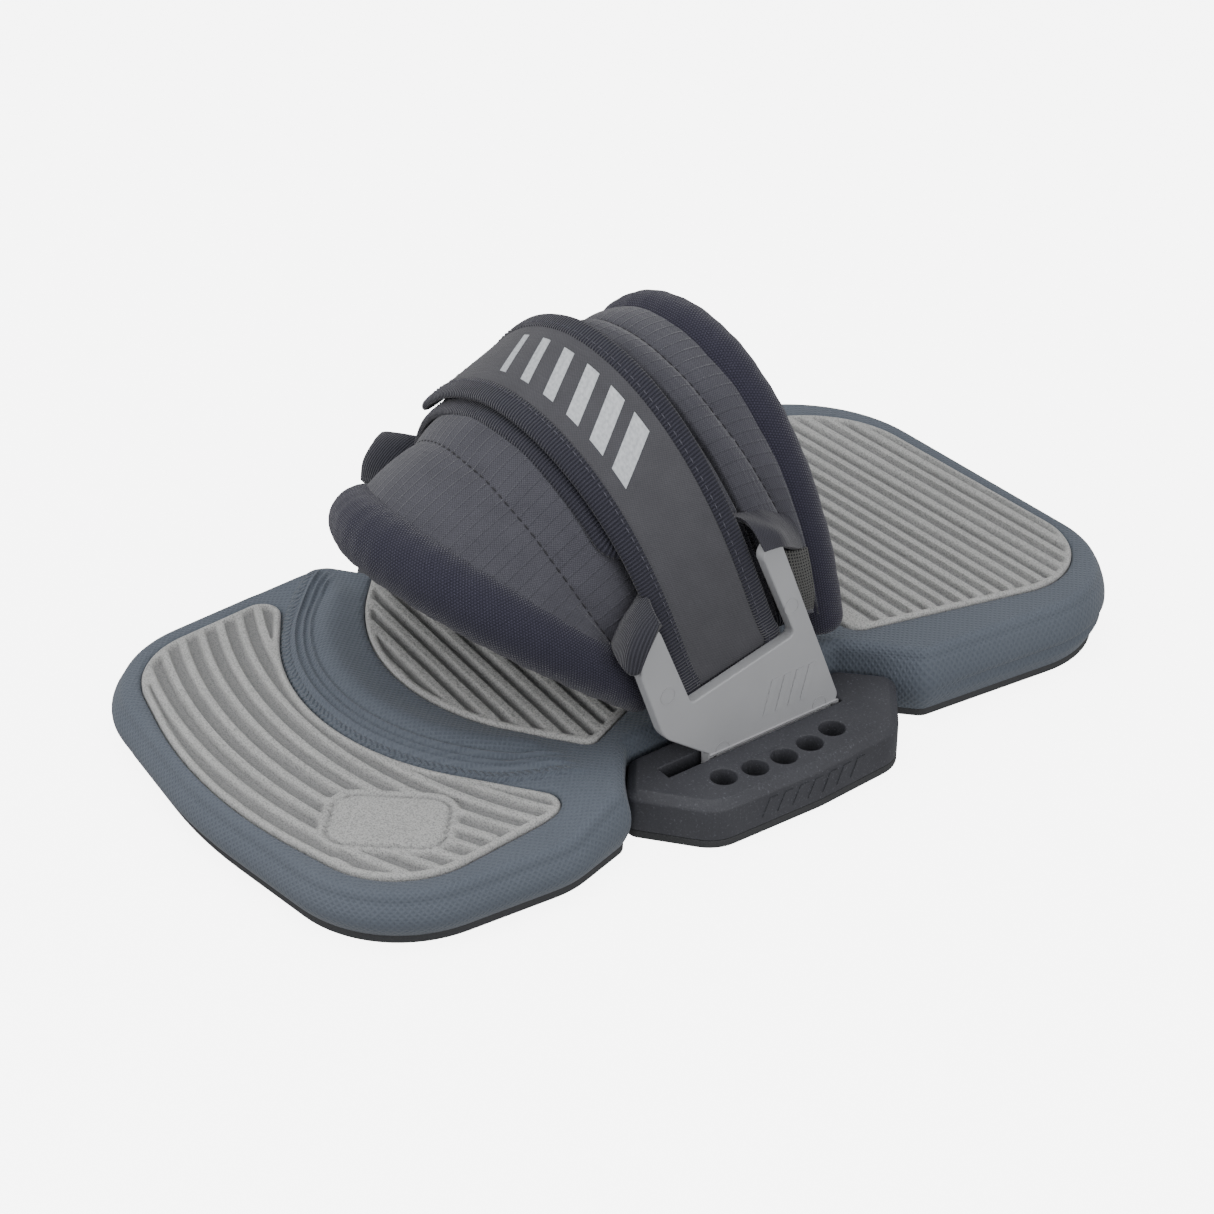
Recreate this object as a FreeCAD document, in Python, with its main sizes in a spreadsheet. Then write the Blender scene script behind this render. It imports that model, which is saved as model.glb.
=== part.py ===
"""Foot binding of a kiteboard or wakeboard: a two-height foam footpad on a nylon chassis,
with a padded saddle strap held by two leaning U brackets and closed by a hook-and-loop strap.

Frame, in millimetres: the origin is on the board's surface, midway between the two middle
screw holes. +X points to one side, +Y towards the heel and +Z up, away from the board.
"""
import FreeCAD
import Part
import math
import os
import Sketcher

DOCUMENT = FreeCAD.newDocument("FootBinding")
SHEET = DOCUMENT.addObject("Spreadsheet::Sheet", "Sizes")
RIGHT = 1
LEFT = -1

# Driving sizes. Every outline below is a belt round discs, so its sizes are each disc's
# centre (across, along) and radius (round).
SIZES = {
    # heights above the board
    "sheet_top": 2.5, "bridge_top": 5.5, "bridge_clearance_top": 5.8, "deck_top": 14.9,
    "pad_top": 23.3, "toe_level": 16.5, "arch_level": 20.5,
    "toe_floor": 15.0, "arch_floor": 19.0, "heel_floor": 22.0,
    "toe_thickness": 2.7, "arch_thickness": 2.4, "heel_thickness": 2.2,
    "groove_depth": 1.2, "groove_width": 2.6,
    # footpad outline
    "middle": 0.0, "toe_front_along": 18.0, "toe_front_round": 160.0,
    "toe_corner_across": 43.0, "toe_corner_along": -102.5, "toe_corner_round": 35.5,
    "toe_side_across": 52.0, "toe_side_along": -76.0, "toe_side_round": 29.0,
    "waist_toe_across": 70.9, "waist_toe_along": -54.6, "waist_corner_round": 5.0,
    "waist_hollow_across": 60.2, "waist_hollow_toe": -33.5, "waist_hollow_heel": 39.5,
    "waist_hollow_round": 4.6,
    "waist_heel_across": 70.9, "waist_heel_along": 62.4,
    "heel_corner_across": 46.0, "heel_corner_along": 111.0, "heel_corner_round": 35.0,
    "heel_left_across": -30.5, "heel_left_along": 99.0, "heel_left_round": 48.0,
    # side profile of the pad's top
    "ramp_toe": -95.0, "ramp_arch": -62.0, "rise_arch": 2.0, "rise_heel": 46.0,
    "profile_toe": -170.0, "profile_above": 40.0,
    # chassis wings
    "wing_toe_across": 70.0, "wing_toe_along": -41.5, "wing_toe_round": 4.0,
    "wing_shoulder_across": 78.5, "wing_shoulder_toe": -24.0, "wing_shoulder_heel": 30.5,
    "wing_shoulder_round": 12.5,
    "wing_side_across": 52.0, "wing_side_along": 6.0, "wing_side_round": 40.2,
    "wing_heel_across": 70.0, "wing_heel_along": 48.5, "wing_heel_round": 4.0,
    "wing_root_round": 4.0, "deck_chamfer": 2.4,
    "bridge_across": 60.2, "bridge_toe": -33.0, "bridge_heel": 39.0,
    "recess_across": 66.0, "recess_toe": -33.5, "recess_heel": 39.5,
    # screw holes, on a circle about the origin
    "hole_circle": 82.5, "hole_radius": 3.9, "hole_step": 7.0,
    # bracket slot in the deck and the channel under it
    "slot_inner": 65.9, "slot_outer": 71.1, "slot_toe": -32.5, "slot_heel": 31.6,
    "channel_inner": 59.6, "channel_outer": 74.1, "channel_top": 8.2,
    # toe, arch and heel grip inserts
    "toe_insert_front_along": 17.0, "toe_insert_front_round": 155.5,
    "toe_insert_corner_across": 44.0, "toe_insert_corner_along": -104.0,
    "toe_insert_corner_round": 27.5, "toe_insert_tip_round": 6.0,
    "toe_insert_tip_right_across": 62.5, "toe_insert_tip_right_along": -71.0,
    "toe_insert_tip_left_across": -68.0, "toe_insert_tip_left_along": -81.0,
    "ridge_centre_across": -9.4, "ridge_centre_along": -16.5, "ridge_round": 80.0,
    "arch_front_round": 72.0, "arch_front_along": 2.5, "arch_front_across": -6.0,
    "arch_tip_across": 47.5, "arch_tip_along": -43.5, "arch_tip_left_across": -57.5,
    "arch_tip_round": 3.5, "arch_back_across": 36.0, "arch_back_along": -18.0,
    "arch_back_left_across": -46.0,
    "heel_insert_front_across": 50.0, "heel_insert_front_along": 56.0, "heel_insert_front_round": 6.0,
    "heel_insert_corner_across": 43.0, "heel_insert_corner_along": 114.0,
    "heel_insert_corner_round": 27.0,
    "heel_insert_left_across": -27.0, "heel_insert_left_along": 103.0, "heel_insert_left_round": 38.0,
    "heel_groove_first": 57.5, "heel_groove_pitch": 5.31, "heel_groove_half": 47.0,
    "arch_groove_first": -56.1, "arch_groove_pitch": 5.8, "arch_groove_half": 30.0,
    "toe_groove_across": -6.0, "toe_groove_along": 52.0, "toe_groove_first": 185.6,
    "toe_groove_pitch": 6.1,
    # bracket blade, measured along the leaning plate up from the deck
    "blade_outer": 70.5, "blade_thickness": 4.0, "blade_lean": 4.0, "blade_root": 14.9,
    "blade_toe_foot": -14.5, "blade_heel_foot": 27.4, "blade_foot_up": 2.5, "blade_foot_round": 3.0,
    "blade_rear_top": 7.5, "blade_rear_top_up": 56.0, "blade_arm_round": 3.6,
    "blade_bar_rear": 12.4, "blade_bar_rear_up": 29.2, "blade_bar_front": -22.0,
    "blade_bar_front_up": 21.8, "blade_bar_round": 1.6,
    "blade_front_top": -35.9, "blade_front_top_up": 44.0,
    "blade_front_side": -34.5, "blade_front_side_up": 35.0, "blade_front_side_round": 5.5,
    "blade_front_bend": -24.5, "blade_front_bend_up": 18.5, "blade_front_bend_round": 10.0,
    "stem_toe": -17.5, "stem_heel": 31.0, "stem_bottom": 3.0, "stem_inner": 66.6,
    "foot_inner": 60.2, "foot_outer": 73.6, "foot_top": 7.6,
    # pin behind the bracket's bar, and the two ears that hold it
    "pin_radius": 2.0, "pin_clearance": 0.03, "pin_across": 60.6, "pin_middle": -4.0,
    "pin_up": 33.0, "pin_tilt": 12.1, "pin_half_length": 20.0,
    "ear_from": 16.2, "ear_thickness": 3.4, "ear_radius": 3.8, "ear_root": 66.4,
    "loop_radius": 4.2, "loop_inner": 2.1, "loop_half_width": 15.6, "loop_strip_inner": 62.3,
    "loop_strip_outer": 64.3, "loop_strip_height": 5.4,
    # saddle arches: half width, then base and crest as along and up
    "saddle_half": 56.6, "core_thickness": 5.0, "panel_thickness": 1.2, "lining_thickness": 1.2,
    "skin_gap": 0.1,
    "front_base_along": -27.0, "front_base_up": 33.0, "front_crest_along": -77.0,
    "front_crest_up": 76.0,
    "toe_edge_base_along": -14.0, "toe_edge_base_up": 31.0, "toe_edge_crest_along": -38.0,
    "toe_edge_crest_up": 96.0,
    "heel_edge_base_along": 20.0, "heel_edge_base_up": 34.0, "heel_edge_crest_along": -2.0,
    "heel_edge_crest_up": 111.0,
    "rear_base_along": 33.0, "rear_base_up": 33.0, "rear_crest_along": 23.0, "rear_crest_up": 112.0,
    "arch_power": 2.15, "arch_far_power": 2.0, "front_far_power": 1.8, "roll_half": 54.0, "roll_end_angle": 4.0,
    "front_edge_start": 2.0, "middle_start": 6.0, "rear_edge_start": 2.0,
    "front_roll_base_along": -27.0, "front_roll_base_up": 33.5, "front_roll_crest_along": -77.0,
    "front_roll_crest_up": 72.0,
    "front_roll_crest_radius": 9.8, "front_roll_end_radius": 8.0,
    "rear_roll_base_along": 37.5, "rear_roll_base_up": 28.0, "rear_roll_crest_along": 25.0,
    "rear_roll_crest_up": 110.5,
    "rear_roll_crest_radius": 7.5, "rear_roll_end_radius": 7.0,
    # over-straps: outer faces of the upper strap, then the layers under it
    "strap_half_near": 64.2, "strap_half_far": 68.2, "strap_thickness": 2.0,
    "patch_thickness": 0.8, "layer_gap": 0.4, "binding_thickness": 0.6, "binding_width": 5.4,
    "binding_gap": 0.1, "strap_width": 34.5,
    "strap_toe_base_along": -21.6, "strap_toe_base_up": 36.9, "strap_toe_crest_along": -38.0,
    "strap_toe_crest_up": 104.0,
    "strap_heel_base_along": 12.0, "strap_heel_base_up": 44.2, "strap_heel_crest_along": -7.0,
    "strap_heel_crest_up": 119.4,
    "strap_power": 2.05, "strap_far_power": 1.85, "strap_lean_power": 0.7,
    "strap_end_angle": 139.0, "lower_end_angle": 36.0, "binding_start_angle": 8.0,
    "patch_near_angle": 64.0, "patch_far_angle": 135.0, "hook_near_angle": 96.0,
    # tabs between the saddle and the tops of the bracket arms
    "tab_length": 8.0, "tab_height": 9.0, "tab_inner": 56.6, "tab_toe_along": -41.0,
    "tab_toe_up": 54.5, "tab_toe_outer": 63.2, "tab_heel_along": 8.0, "tab_heel_up": 58.0,
    "tab_heel_outer": 62.6, "tab_heel_length": 11.0,
}


def fill_sheet():
    """Write every driving size to the sheet as a plain number with an alias."""
    for row, (alias, value) in enumerate(SIZES.items(), start=1):
        SHEET.set("A%d" % row, alias)
        SHEET.set("B%d" % row, str(value))
        SHEET.setAlias("B%d" % row, alias)
    DOCUMENT.recompute()


def size(term):
    """The number behind an alias; a leading minus sign mirrors it."""
    if term.startswith("-"):
        return -SHEET.get(term[1:])
    return SHEET.get(term)


def bound(term):
    """The expression that ties a property to an alias."""
    if term.startswith("-"):
        return "-Sizes." + term[1:]
    return "Sizes." + term


def flip(term):
    """The same alias with its sign turned over."""
    return term[1:] if term.startswith("-") else "-" + term


# ---------------------------------------------------------------- PartDesign helpers


def new_body(name):
    body = DOCUMENT.addObject("PartDesign::Body", name)
    body.Label = name
    return body


def new_sketch(body, name, plane, height=None):
    """A sketch on one of the body's own origin planes, raised to an aliased height."""
    sketch = body.newObject("Sketcher::SketchObject", name)
    planes = [item for item in body.Origin.OriginFeatures if item.Role == plane]
    sketch.AttachmentSupport = [(planes[0], "")]
    sketch.MapMode = "FlatFace"
    if height is not None:
        sketch.setExpression("AttachmentOffset.Base.z", bound(height))
    return sketch


def fix_point(sketch, geometry, position, across, along):
    """Hold one point of the sketch at two aliased distances from its origin."""
    for kind, term in (("DistanceX", across), ("DistanceY", along)):
        constraint = Sketcher.Constraint(kind, -1, 1, geometry, position, size(term))
        index = sketch.addConstraint(constraint)
        sketch.setExpression("Constraints[%d]" % index, bound(term))


def add_polygon(sketch, corners):
    """A closed polygon whose corners are (across, along) pairs of aliases."""
    points = [FreeCAD.Vector(size(a), size(b), 0) for a, b in corners]
    lines = []
    for index, point in enumerate(points):
        following = points[(index + 1) % len(points)]
        lines.append(sketch.addGeometry(Part.LineSegment(point, following)))
    for index, line in enumerate(lines):
        after = lines[(index + 1) % len(lines)]
        sketch.addConstraint(Sketcher.Constraint("Coincident", line, 2, after, 1))
        fix_point(sketch, line, 1, corners[index][0], corners[index][1])


def add_rectangle(sketch, low_across, low_along, high_across, high_along):
    add_polygon(sketch, [(low_across, low_along), (high_across, low_along),
                         (high_across, high_along), (low_across, high_along)])


def belt_tangents(first, second):
    """End points of the straight run between two discs of a belt that turns to the left."""
    reach = second["centre"] - first["centre"]
    along = FreeCAD.Vector(reach).normalize()
    across = FreeCAD.Vector(-along.y, along.x, 0)
    sine = (second["round"] - first["round"]) / reach.Length
    normal = across * math.sqrt(1 - sine * sine) + along * sine
    return first["centre"] - normal * first["round"], second["centre"] - normal * second["round"]


def add_belt(sketch, discs):
    """A closed outline of arcs and tangent lines round discs, in anticlockwise order.

    Each disc is (across, along, radius, inside); inside is False where the outline is hollow.
    """
    wheels = []
    for across, along, radius, inside in discs:
        centre = FreeCAD.Vector(size(across), size(along), 0)
        wheels.append({"centre": centre, "round": size(radius) if inside else -size(radius)})
    count = len(wheels)
    runs = [belt_tangents(wheels[i], wheels[(i + 1) % count]) for i in range(count)]
    lines = [sketch.addGeometry(Part.LineSegment(start, end)) for start, end in runs]
    for index, (across, along, radius, inside) in enumerate(discs):
        wheel = wheels[index]
        arrive = runs[index - 1][1] - wheel["centre"]
        leave = runs[index][0] - wheel["centre"]
        angles = [math.atan2(arrive.y, arrive.x), math.atan2(leave.y, leave.x)]
        if not inside:
            angles.reverse()
        circle = Part.Circle(wheel["centre"], FreeCAD.Vector(0, 0, 1), size(radius))
        arc = sketch.addGeometry(Part.ArcOfCircle(circle, angles[0], angles[1]))
        arc_start, arc_end = (1, 2) if inside else (2, 1)
        before = lines[index - 1]
        sketch.addConstraint(Sketcher.Constraint("Tangent", before, 2, arc, arc_start))
        sketch.addConstraint(Sketcher.Constraint("Tangent", arc, arc_end, lines[index], 1))
        held = sketch.addConstraint(Sketcher.Constraint("Radius", arc, size(radius)))
        sketch.setExpression("Constraints[%d]" % held, bound(radius))
        fix_point(sketch, arc, 3, across, along)


def pad(body, sketch, length, upwards=True):
    feature = body.newObject("PartDesign::Pad", sketch.Name + "_pad")
    feature.Profile = sketch
    feature.setExpression("Length", length)
    feature.Reversed = not upwards
    sketch.Visibility = False
    DOCUMENT.recompute()
    return feature


def pocket(body, sketch, length, upwards=True, both_ways=False):
    """Cut the sketch's shape out, and stop if nothing was removed."""
    before = body.Shape.Volume
    feature = body.newObject("PartDesign::Pocket", sketch.Name + "_pocket")
    feature.Profile = sketch
    feature.setExpression("Length", length)
    feature.Midplane = both_ways
    feature.Reversed = upwards
    DOCUMENT.recompute()
    if body.Shape.Volume > before - 1.0:
        raise ValueError("%s cuts nothing" % sketch.Name)
    return feature


def repeat_along(body, feature, axis_role, spacing, count):
    """Repeat one feature along an axis of the body's own origin."""
    pattern = body.newObject("PartDesign::LinearPattern", feature.Name + "_row")
    axes = [item for item in body.Origin.OriginFeatures if item.Role == axis_role]
    pattern.Originals = [feature]
    pattern.Direction = (axes[0], [""])
    pattern.Occurrences = count
    pattern.setExpression("Length", "%s * %d" % (bound(spacing), count - 1))
    body.Tip = pattern
    DOCUMENT.recompute()
    return pattern


# ---------------------------------------------------------------- outlines


def mirrored(half):
    """The mirror image of a right-hand half outline, in the order that goes on round the left."""
    return [(flip(across), along, radius, inside) for across, along, radius, inside in half][::-1]


def pad_outline():
    """Mirror halves, but for the left heel corner, which is rounder than the right one."""
    half = [
        ("toe_corner_across", "toe_corner_along", "toe_corner_round", True),
        ("toe_side_across", "toe_side_along", "toe_side_round", True),
        ("waist_toe_across", "waist_toe_along", "waist_corner_round", True),
        ("waist_hollow_across", "waist_hollow_toe", "waist_hollow_round", False),
        ("waist_hollow_across", "waist_hollow_heel", "waist_hollow_round", False),
        ("waist_heel_across", "waist_heel_along", "waist_corner_round", True),
    ]
    heel = [
        ("heel_corner_across", "heel_corner_along", "heel_corner_round", True),
        ("heel_left_across", "heel_left_along", "heel_left_round", True),
    ]
    return half + heel + mirrored(half) + [("middle", "toe_front_along", "toe_front_round", True)]


def wing_outline(side):
    """The wing as seen from above; it fills the pad's waist and stands out beyond it."""
    turn = (lambda term: term) if side == RIGHT else flip
    discs = [
        (turn("wing_toe_across"), "wing_toe_along", "wing_toe_round", True),
        (turn("wing_shoulder_across"), "wing_shoulder_toe", "wing_shoulder_round", True),
        (turn("wing_side_across"), "wing_side_along", "wing_side_round", True),
        (turn("wing_shoulder_across"), "wing_shoulder_heel", "wing_shoulder_round", True),
        (turn("wing_heel_across"), "wing_heel_along", "wing_heel_round", True),
        (turn("waist_hollow_across"), "waist_hollow_heel", "wing_root_round", True),
        (turn("waist_hollow_across"), "waist_hollow_toe", "wing_root_round", True),
    ]
    return discs if side == RIGHT else discs[::-1]


def toe_insert_outline():
    return [
        ("toe_insert_corner_across", "toe_insert_corner_along", "toe_insert_corner_round", True),
        ("toe_insert_tip_right_across", "toe_insert_tip_right_along", "toe_insert_tip_round", True),
        ("ridge_centre_across", "ridge_centre_along", "ridge_round", False),
        ("toe_insert_tip_left_across", "toe_insert_tip_left_along", "toe_insert_tip_round", True),
        ("-toe_insert_corner_across", "toe_insert_corner_along", "toe_insert_corner_round", True),
        ("middle", "toe_insert_front_along", "toe_insert_front_round", True),
    ]


def arch_insert_outline():
    return [
        ("arch_front_across", "arch_front_along", "arch_front_round", True),
        ("arch_tip_across", "arch_tip_along", "arch_tip_round", True),
        ("arch_back_across", "arch_back_along", "arch_tip_round", True),
        ("arch_back_left_across", "arch_back_along", "arch_tip_round", True),
        ("arch_tip_left_across", "arch_tip_along", "arch_tip_round", True),
    ]


def heel_insert_outline():
    return [
        ("heel_insert_front_across", "heel_insert_front_along", "heel_insert_front_round", True),
        ("heel_insert_corner_across", "heel_insert_corner_along", "heel_insert_corner_round", True),
        ("heel_insert_left_across", "heel_insert_left_along", "heel_insert_left_round", True),
        ("-heel_insert_front_across", "heel_insert_front_along", "heel_insert_front_round", True),
    ]


# ---------------------------------------------------------------- pieces fixed to the board


def add_screw_holes(body, length):
    """Five holes a side on one circle, so the binding can be turned on a board's inserts."""
    sketch = new_sketch(body, body.Name + "_holes", "XY_Plane")
    for side in (RIGHT, LEFT):
        for step in range(-2, 3):
            angle = math.radians(size("hole_step") * step)
            centre = FreeCAD.Vector(side * size("hole_circle") * math.cos(angle),
                                    size("hole_circle") * math.sin(angle), 0)
            index = sketch.addGeometry(Part.Circle(centre, FreeCAD.Vector(0, 0, 1), size("hole_radius")))
            held = sketch.addConstraint(Sketcher.Constraint("Radius", index, size("hole_radius")))
            sketch.setExpression("Constraints[%d]" % held, bound("hole_radius"))
            turned = "(%s * %d * 1 deg)" % (bound("hole_step"), step)
            across = "%d * %s * cos%s" % (side, bound("hole_circle"), turned)
            along = "%s * sin%s" % (bound("hole_circle"), turned)
            for kind, value, words in (("DistanceX", centre.x, across), ("DistanceY", centre.y, along)):
                held = sketch.addConstraint(Sketcher.Constraint(kind, -1, 1, index, 3, value))
                sketch.setExpression("Constraints[%d]" % held, words)
    return pocket(body, sketch, length)


def add_wings(body, top):
    """Both wings from the body's base up to an aliased height."""
    for side, word in ((RIGHT, "right"), (LEFT, "left")):
        sketch = new_sketch(body, "%s_wing_%s" % (body.Name, word), "XY_Plane")
        add_belt(sketch, wing_outline(side))
        pad(body, sketch, bound(top))


def make_base_sheet():
    body = new_body("base_sheet")
    sketch = new_sketch(body, "sheet_outline", "XY_Plane")
    add_belt(sketch, pad_outline())
    pad(body, sketch, bound("sheet_top"))
    bridge = new_sketch(body, "sheet_bridge", "XY_Plane")
    add_rectangle(bridge, "-recess_across", "recess_toe", "recess_across", "recess_heel")
    pad(body, bridge, bound("sheet_top"))
    add_wings(body, "sheet_top")
    add_screw_holes(body, bound("sheet_top"))
    return body


def make_chassis():
    """A bridge plate under the pad, joined to two wings that stand out at the waist."""
    body = new_body("chassis")
    bridge = new_sketch(body, "bridge_outline", "XY_Plane", "sheet_top")
    add_rectangle(bridge, "-bridge_across", "bridge_toe", "bridge_across", "bridge_heel")
    pad(body, bridge, "Sizes.bridge_top - Sizes.sheet_top")
    for side, word in ((RIGHT, "right"), (LEFT, "left")):
        sketch = new_sketch(body, "wing_" + word, "XY_Plane", "sheet_top")
        add_belt(sketch, wing_outline(side))
        pad(body, sketch, "Sizes.deck_top - Sizes.sheet_top")
    wings = body.Tip
    edges = []
    for index, edge in enumerate(body.Shape.Edges, start=1):
        box = edge.BoundBox
        outer = max(abs(box.XMin), abs(box.XMax)) > size("waist_corner_round") + size("wing_toe_across")
        if box.ZMin > size("deck_top") - 0.01 and outer:
            edges.append("Edge%d" % index)
    chamfer = body.newObject("PartDesign::Chamfer", "deck_chamfers")
    chamfer.Base = (wings, edges)
    chamfer.setExpression("Size", bound("deck_chamfer"))
    DOCUMENT.recompute()
    for side, word in ((RIGHT, "right"), (LEFT, "left")):
        turn = (lambda term: term) if side == RIGHT else flip
        slot = new_sketch(body, "slot_" + word, "XY_Plane", "sheet_top")
        add_rectangle(slot, turn("slot_inner"), "slot_toe", turn("slot_outer"), "slot_heel")
        pocket(body, slot, bound("deck_top"))
        channel = new_sketch(body, "channel_" + word, "XY_Plane", "sheet_top")
        add_rectangle(channel, turn("channel_inner"), "slot_toe", turn("channel_outer"), "slot_heel")
        pocket(body, channel, "Sizes.channel_top - Sizes.sheet_top")
    add_screw_holes(body, bound("deck_top"))
    return body


def make_pad_body():
    """The foam footpad: thin at the toe, thicker at the heel, pocketed for three grips."""
    body = new_body("pad_body")
    outline = new_sketch(body, "pad_plan", "XY_Plane", "sheet_top")
    add_belt(outline, pad_outline())
    pad(body, outline, "Sizes.pad_top - Sizes.sheet_top")
    profile = new_sketch(body, "pad_profile", "YZ_Plane")
    add_polygon(profile, [
        ("profile_toe", "toe_level"), ("ramp_toe", "toe_level"), ("ramp_arch", "arch_level"),
        ("rise_arch", "arch_level"), ("rise_heel", "pad_top"), ("rise_heel", "profile_above"),
        ("profile_toe", "profile_above"),
    ])
    pocket(body, profile, "4 * Sizes.hole_circle", both_ways=True)
    recess = new_sketch(body, "bridge_recess", "XY_Plane", "sheet_top")
    add_rectangle(recess, "-recess_across", "recess_toe", "recess_across", "recess_heel")
    pocket(body, recess, "Sizes.bridge_clearance_top - Sizes.sheet_top")
    grips = (("toe", toe_insert_outline()), ("arch", arch_insert_outline()),
             ("heel", heel_insert_outline()))
    for word, discs in grips:
        seat = new_sketch(body, word + "_seat", "XY_Plane", word + "_floor")
        add_belt(seat, discs)
        pocket(body, seat, bound("profile_above"))
    return body


def make_heel_insert():
    body = new_body("heel_insert")
    outline = new_sketch(body, "heel_grip", "XY_Plane", "heel_floor")
    add_belt(outline, heel_insert_outline())
    pad(body, outline, bound("heel_thickness"))
    cut_straight_grooves(body, "heel", 16)
    return body


def make_arch_insert():
    body = new_body("arch_insert")
    outline = new_sketch(body, "arch_grip", "XY_Plane", "arch_floor")
    add_belt(outline, arch_insert_outline())
    pad(body, outline, bound("arch_thickness"))
    cut_straight_grooves(body, "arch", 6)
    return body


def cut_straight_grooves(body, word, count):
    """Grooves across the foot, each cut from the grip's top face."""
    groove = new_sketch(body, word + "_groove", "XY_Plane", word + "_floor")
    corners = [("-", ""), ("", ""), ("", "+"), ("-", "+")]
    half = size(word + "_groove_half")
    first = size(word + "_groove_first")
    points = []
    for sign, far in corners:
        x = -half if sign else half
        y = first + size("groove_width") if far else first
        points.append(FreeCAD.Vector(x, y, 0))
    for index, point in enumerate(points):
        groove.addGeometry(Part.LineSegment(point, points[(index + 1) % 4]))
    for index, (sign, far) in enumerate(corners):
        groove.addConstraint(Sketcher.Constraint("Coincident", index, 2, (index + 1) % 4, 1))
        held = groove.addConstraint(
            Sketcher.Constraint("DistanceX", -1, 1, index, 1, points[index].x))
        groove.setExpression("Constraints[%d]" % held, sign + bound(word + "_groove_half"))
        held = groove.addConstraint(
            Sketcher.Constraint("DistanceY", -1, 1, index, 1, points[index].y))
        words = bound(word + "_groove_first") + (" + Sizes.groove_width" if far else "")
        groove.setExpression("Constraints[%d]" % held, words)
    depth = "Sizes.%s_thickness - Sizes.groove_depth" % word
    groove.setExpression("AttachmentOffset.Base.z", "Sizes.%s_floor + %s" % (word, depth))
    cut = pocket(body, groove, "2 * Sizes.groove_depth")
    repeat_along(body, cut, "Y_Axis", word + "_groove_pitch", count)


def make_toe_insert():
    """The toe grip, with grooves on arcs about one centre."""
    body = new_body("toe_insert")
    outline = new_sketch(body, "toe_grip", "XY_Plane", "toe_floor")
    add_belt(outline, toe_insert_outline())
    pad(body, outline, bound("toe_thickness"))
    rings = new_sketch(body, "toe_grooves", "XY_Plane")
    rings.setExpression("AttachmentOffset.Base.z",
                        "Sizes.toe_floor + Sizes.toe_thickness - Sizes.groove_depth")
    centre = FreeCAD.Vector(size("toe_groove_across"), size("toe_groove_along"), 0)
    for index in range(9):
        for extra, words in ((0, ""), (size("groove_width"), " + Sizes.groove_width")):
            radius = size("toe_groove_first") - index * size("toe_groove_pitch") + extra
            ring = rings.addGeometry(Part.Circle(centre, FreeCAD.Vector(0, 0, 1), radius))
            held = rings.addConstraint(Sketcher.Constraint("Radius", ring, radius))
            expression = "Sizes.toe_groove_first - %d * Sizes.toe_groove_pitch%s" % (index, words)
            rings.setExpression("Constraints[%d]" % held, expression)
            fix_point(rings, ring, 3, "toe_groove_across", "toe_groove_along")
    pocket(body, rings, "2 * Sizes.groove_depth")
    return body


# ---------------------------------------------------------------- brackets and pins


def make_bracket(side, word):
    """A U plate that leans inwards, on a stem through the deck's slot with a wide foot."""
    turn = (lambda term: term) if side == RIGHT else flip
    body = new_body("bracket_" + word)
    foot = new_sketch(body, "foot_" + word, "XY_Plane", "stem_bottom")
    add_rectangle(foot, turn("foot_inner"), "stem_toe", turn("foot_outer"), "stem_heel")
    pad(body, foot, "Sizes.foot_top - Sizes.stem_bottom")
    stem = new_sketch(body, "stem_" + word, "XY_Plane", "stem_bottom")
    add_rectangle(stem, turn("stem_inner"), "stem_toe", turn("blade_outer"), "stem_heel")
    pad(body, stem, "Sizes.blade_root - Sizes.stem_bottom + 0.6")
    blade = new_sketch(body, "blade_" + word, "YZ_Plane")
    lean = FreeCAD.Rotation(FreeCAD.Vector(1, 0, 0), -side * size("blade_lean"))
    base = FreeCAD.Vector(0, size("blade_root"), side * size("blade_outer"))
    blade.AttachmentOffset = FreeCAD.Placement(base, lean)
    blade.setExpression("AttachmentOffset.Base.y", bound("blade_root"))
    blade.setExpression("AttachmentOffset.Base.z", bound(turn("blade_outer")))
    add_belt(blade, [
        ("blade_toe_foot", "blade_foot_up", "blade_foot_round", True),
        ("blade_heel_foot", "blade_foot_up", "blade_foot_round", True),
        ("blade_rear_top", "blade_rear_top_up", "blade_arm_round", True),
        ("blade_bar_rear", "blade_bar_rear_up", "blade_bar_round", False),
        ("blade_bar_front", "blade_bar_front_up", "blade_bar_round", False),
        ("blade_front_top", "blade_front_top_up", "blade_arm_round", True),
        ("blade_front_side", "blade_front_side_up", "blade_front_side_round", True),
        ("blade_front_bend", "blade_front_bend_up", "blade_front_bend_round", True),
    ])
    pad(body, blade, bound("blade_thickness"), upwards=side == LEFT)
    return body


def tilt_frame(side):
    """The frame of the anchor pin: its local Y runs along the pin, up towards the heel."""
    turn = FreeCAD.Rotation(FreeCAD.Vector(1, 0, 0), size("pin_tilt"))
    base = FreeCAD.Vector(side * size("pin_across"), size("pin_middle"), size("pin_up"))
    return FreeCAD.Placement(base, turn)


def rod(radius, start, length):
    """A cylinder along local Y from start."""
    return Part.makeCylinder(radius, length, FreeCAD.Vector(0, start, 0), FreeCAD.Vector(0, 1, 0))


def add_ears(bracket, side):
    """Two drilled ears on the bar's inner face, joined to the bracket as one moulding."""
    shape = bracket.Shape.copy()
    frame = tilt_frame(side)
    reach = size("ear_root") - size("pin_across")
    for start in (size("ear_from"), -size("ear_from") - size("ear_thickness")):
        ear = rod(size("ear_radius"), start, size("ear_thickness"))
        low = FreeCAD.Vector(0 if side == RIGHT else -reach, start, -size("ear_radius"))
        root = Part.makeBox(reach, size("ear_thickness"), 2 * size("ear_radius"), low)
        hole = rod(size("pin_radius") + size("pin_clearance"), start - 1, size("ear_thickness") + 2)
        ear = ear.fuse(root).cut(hole)
        ear.transformShape(frame.toMatrix())
        shape = shape.fuse(ear)
    return shape.removeSplitter()


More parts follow.
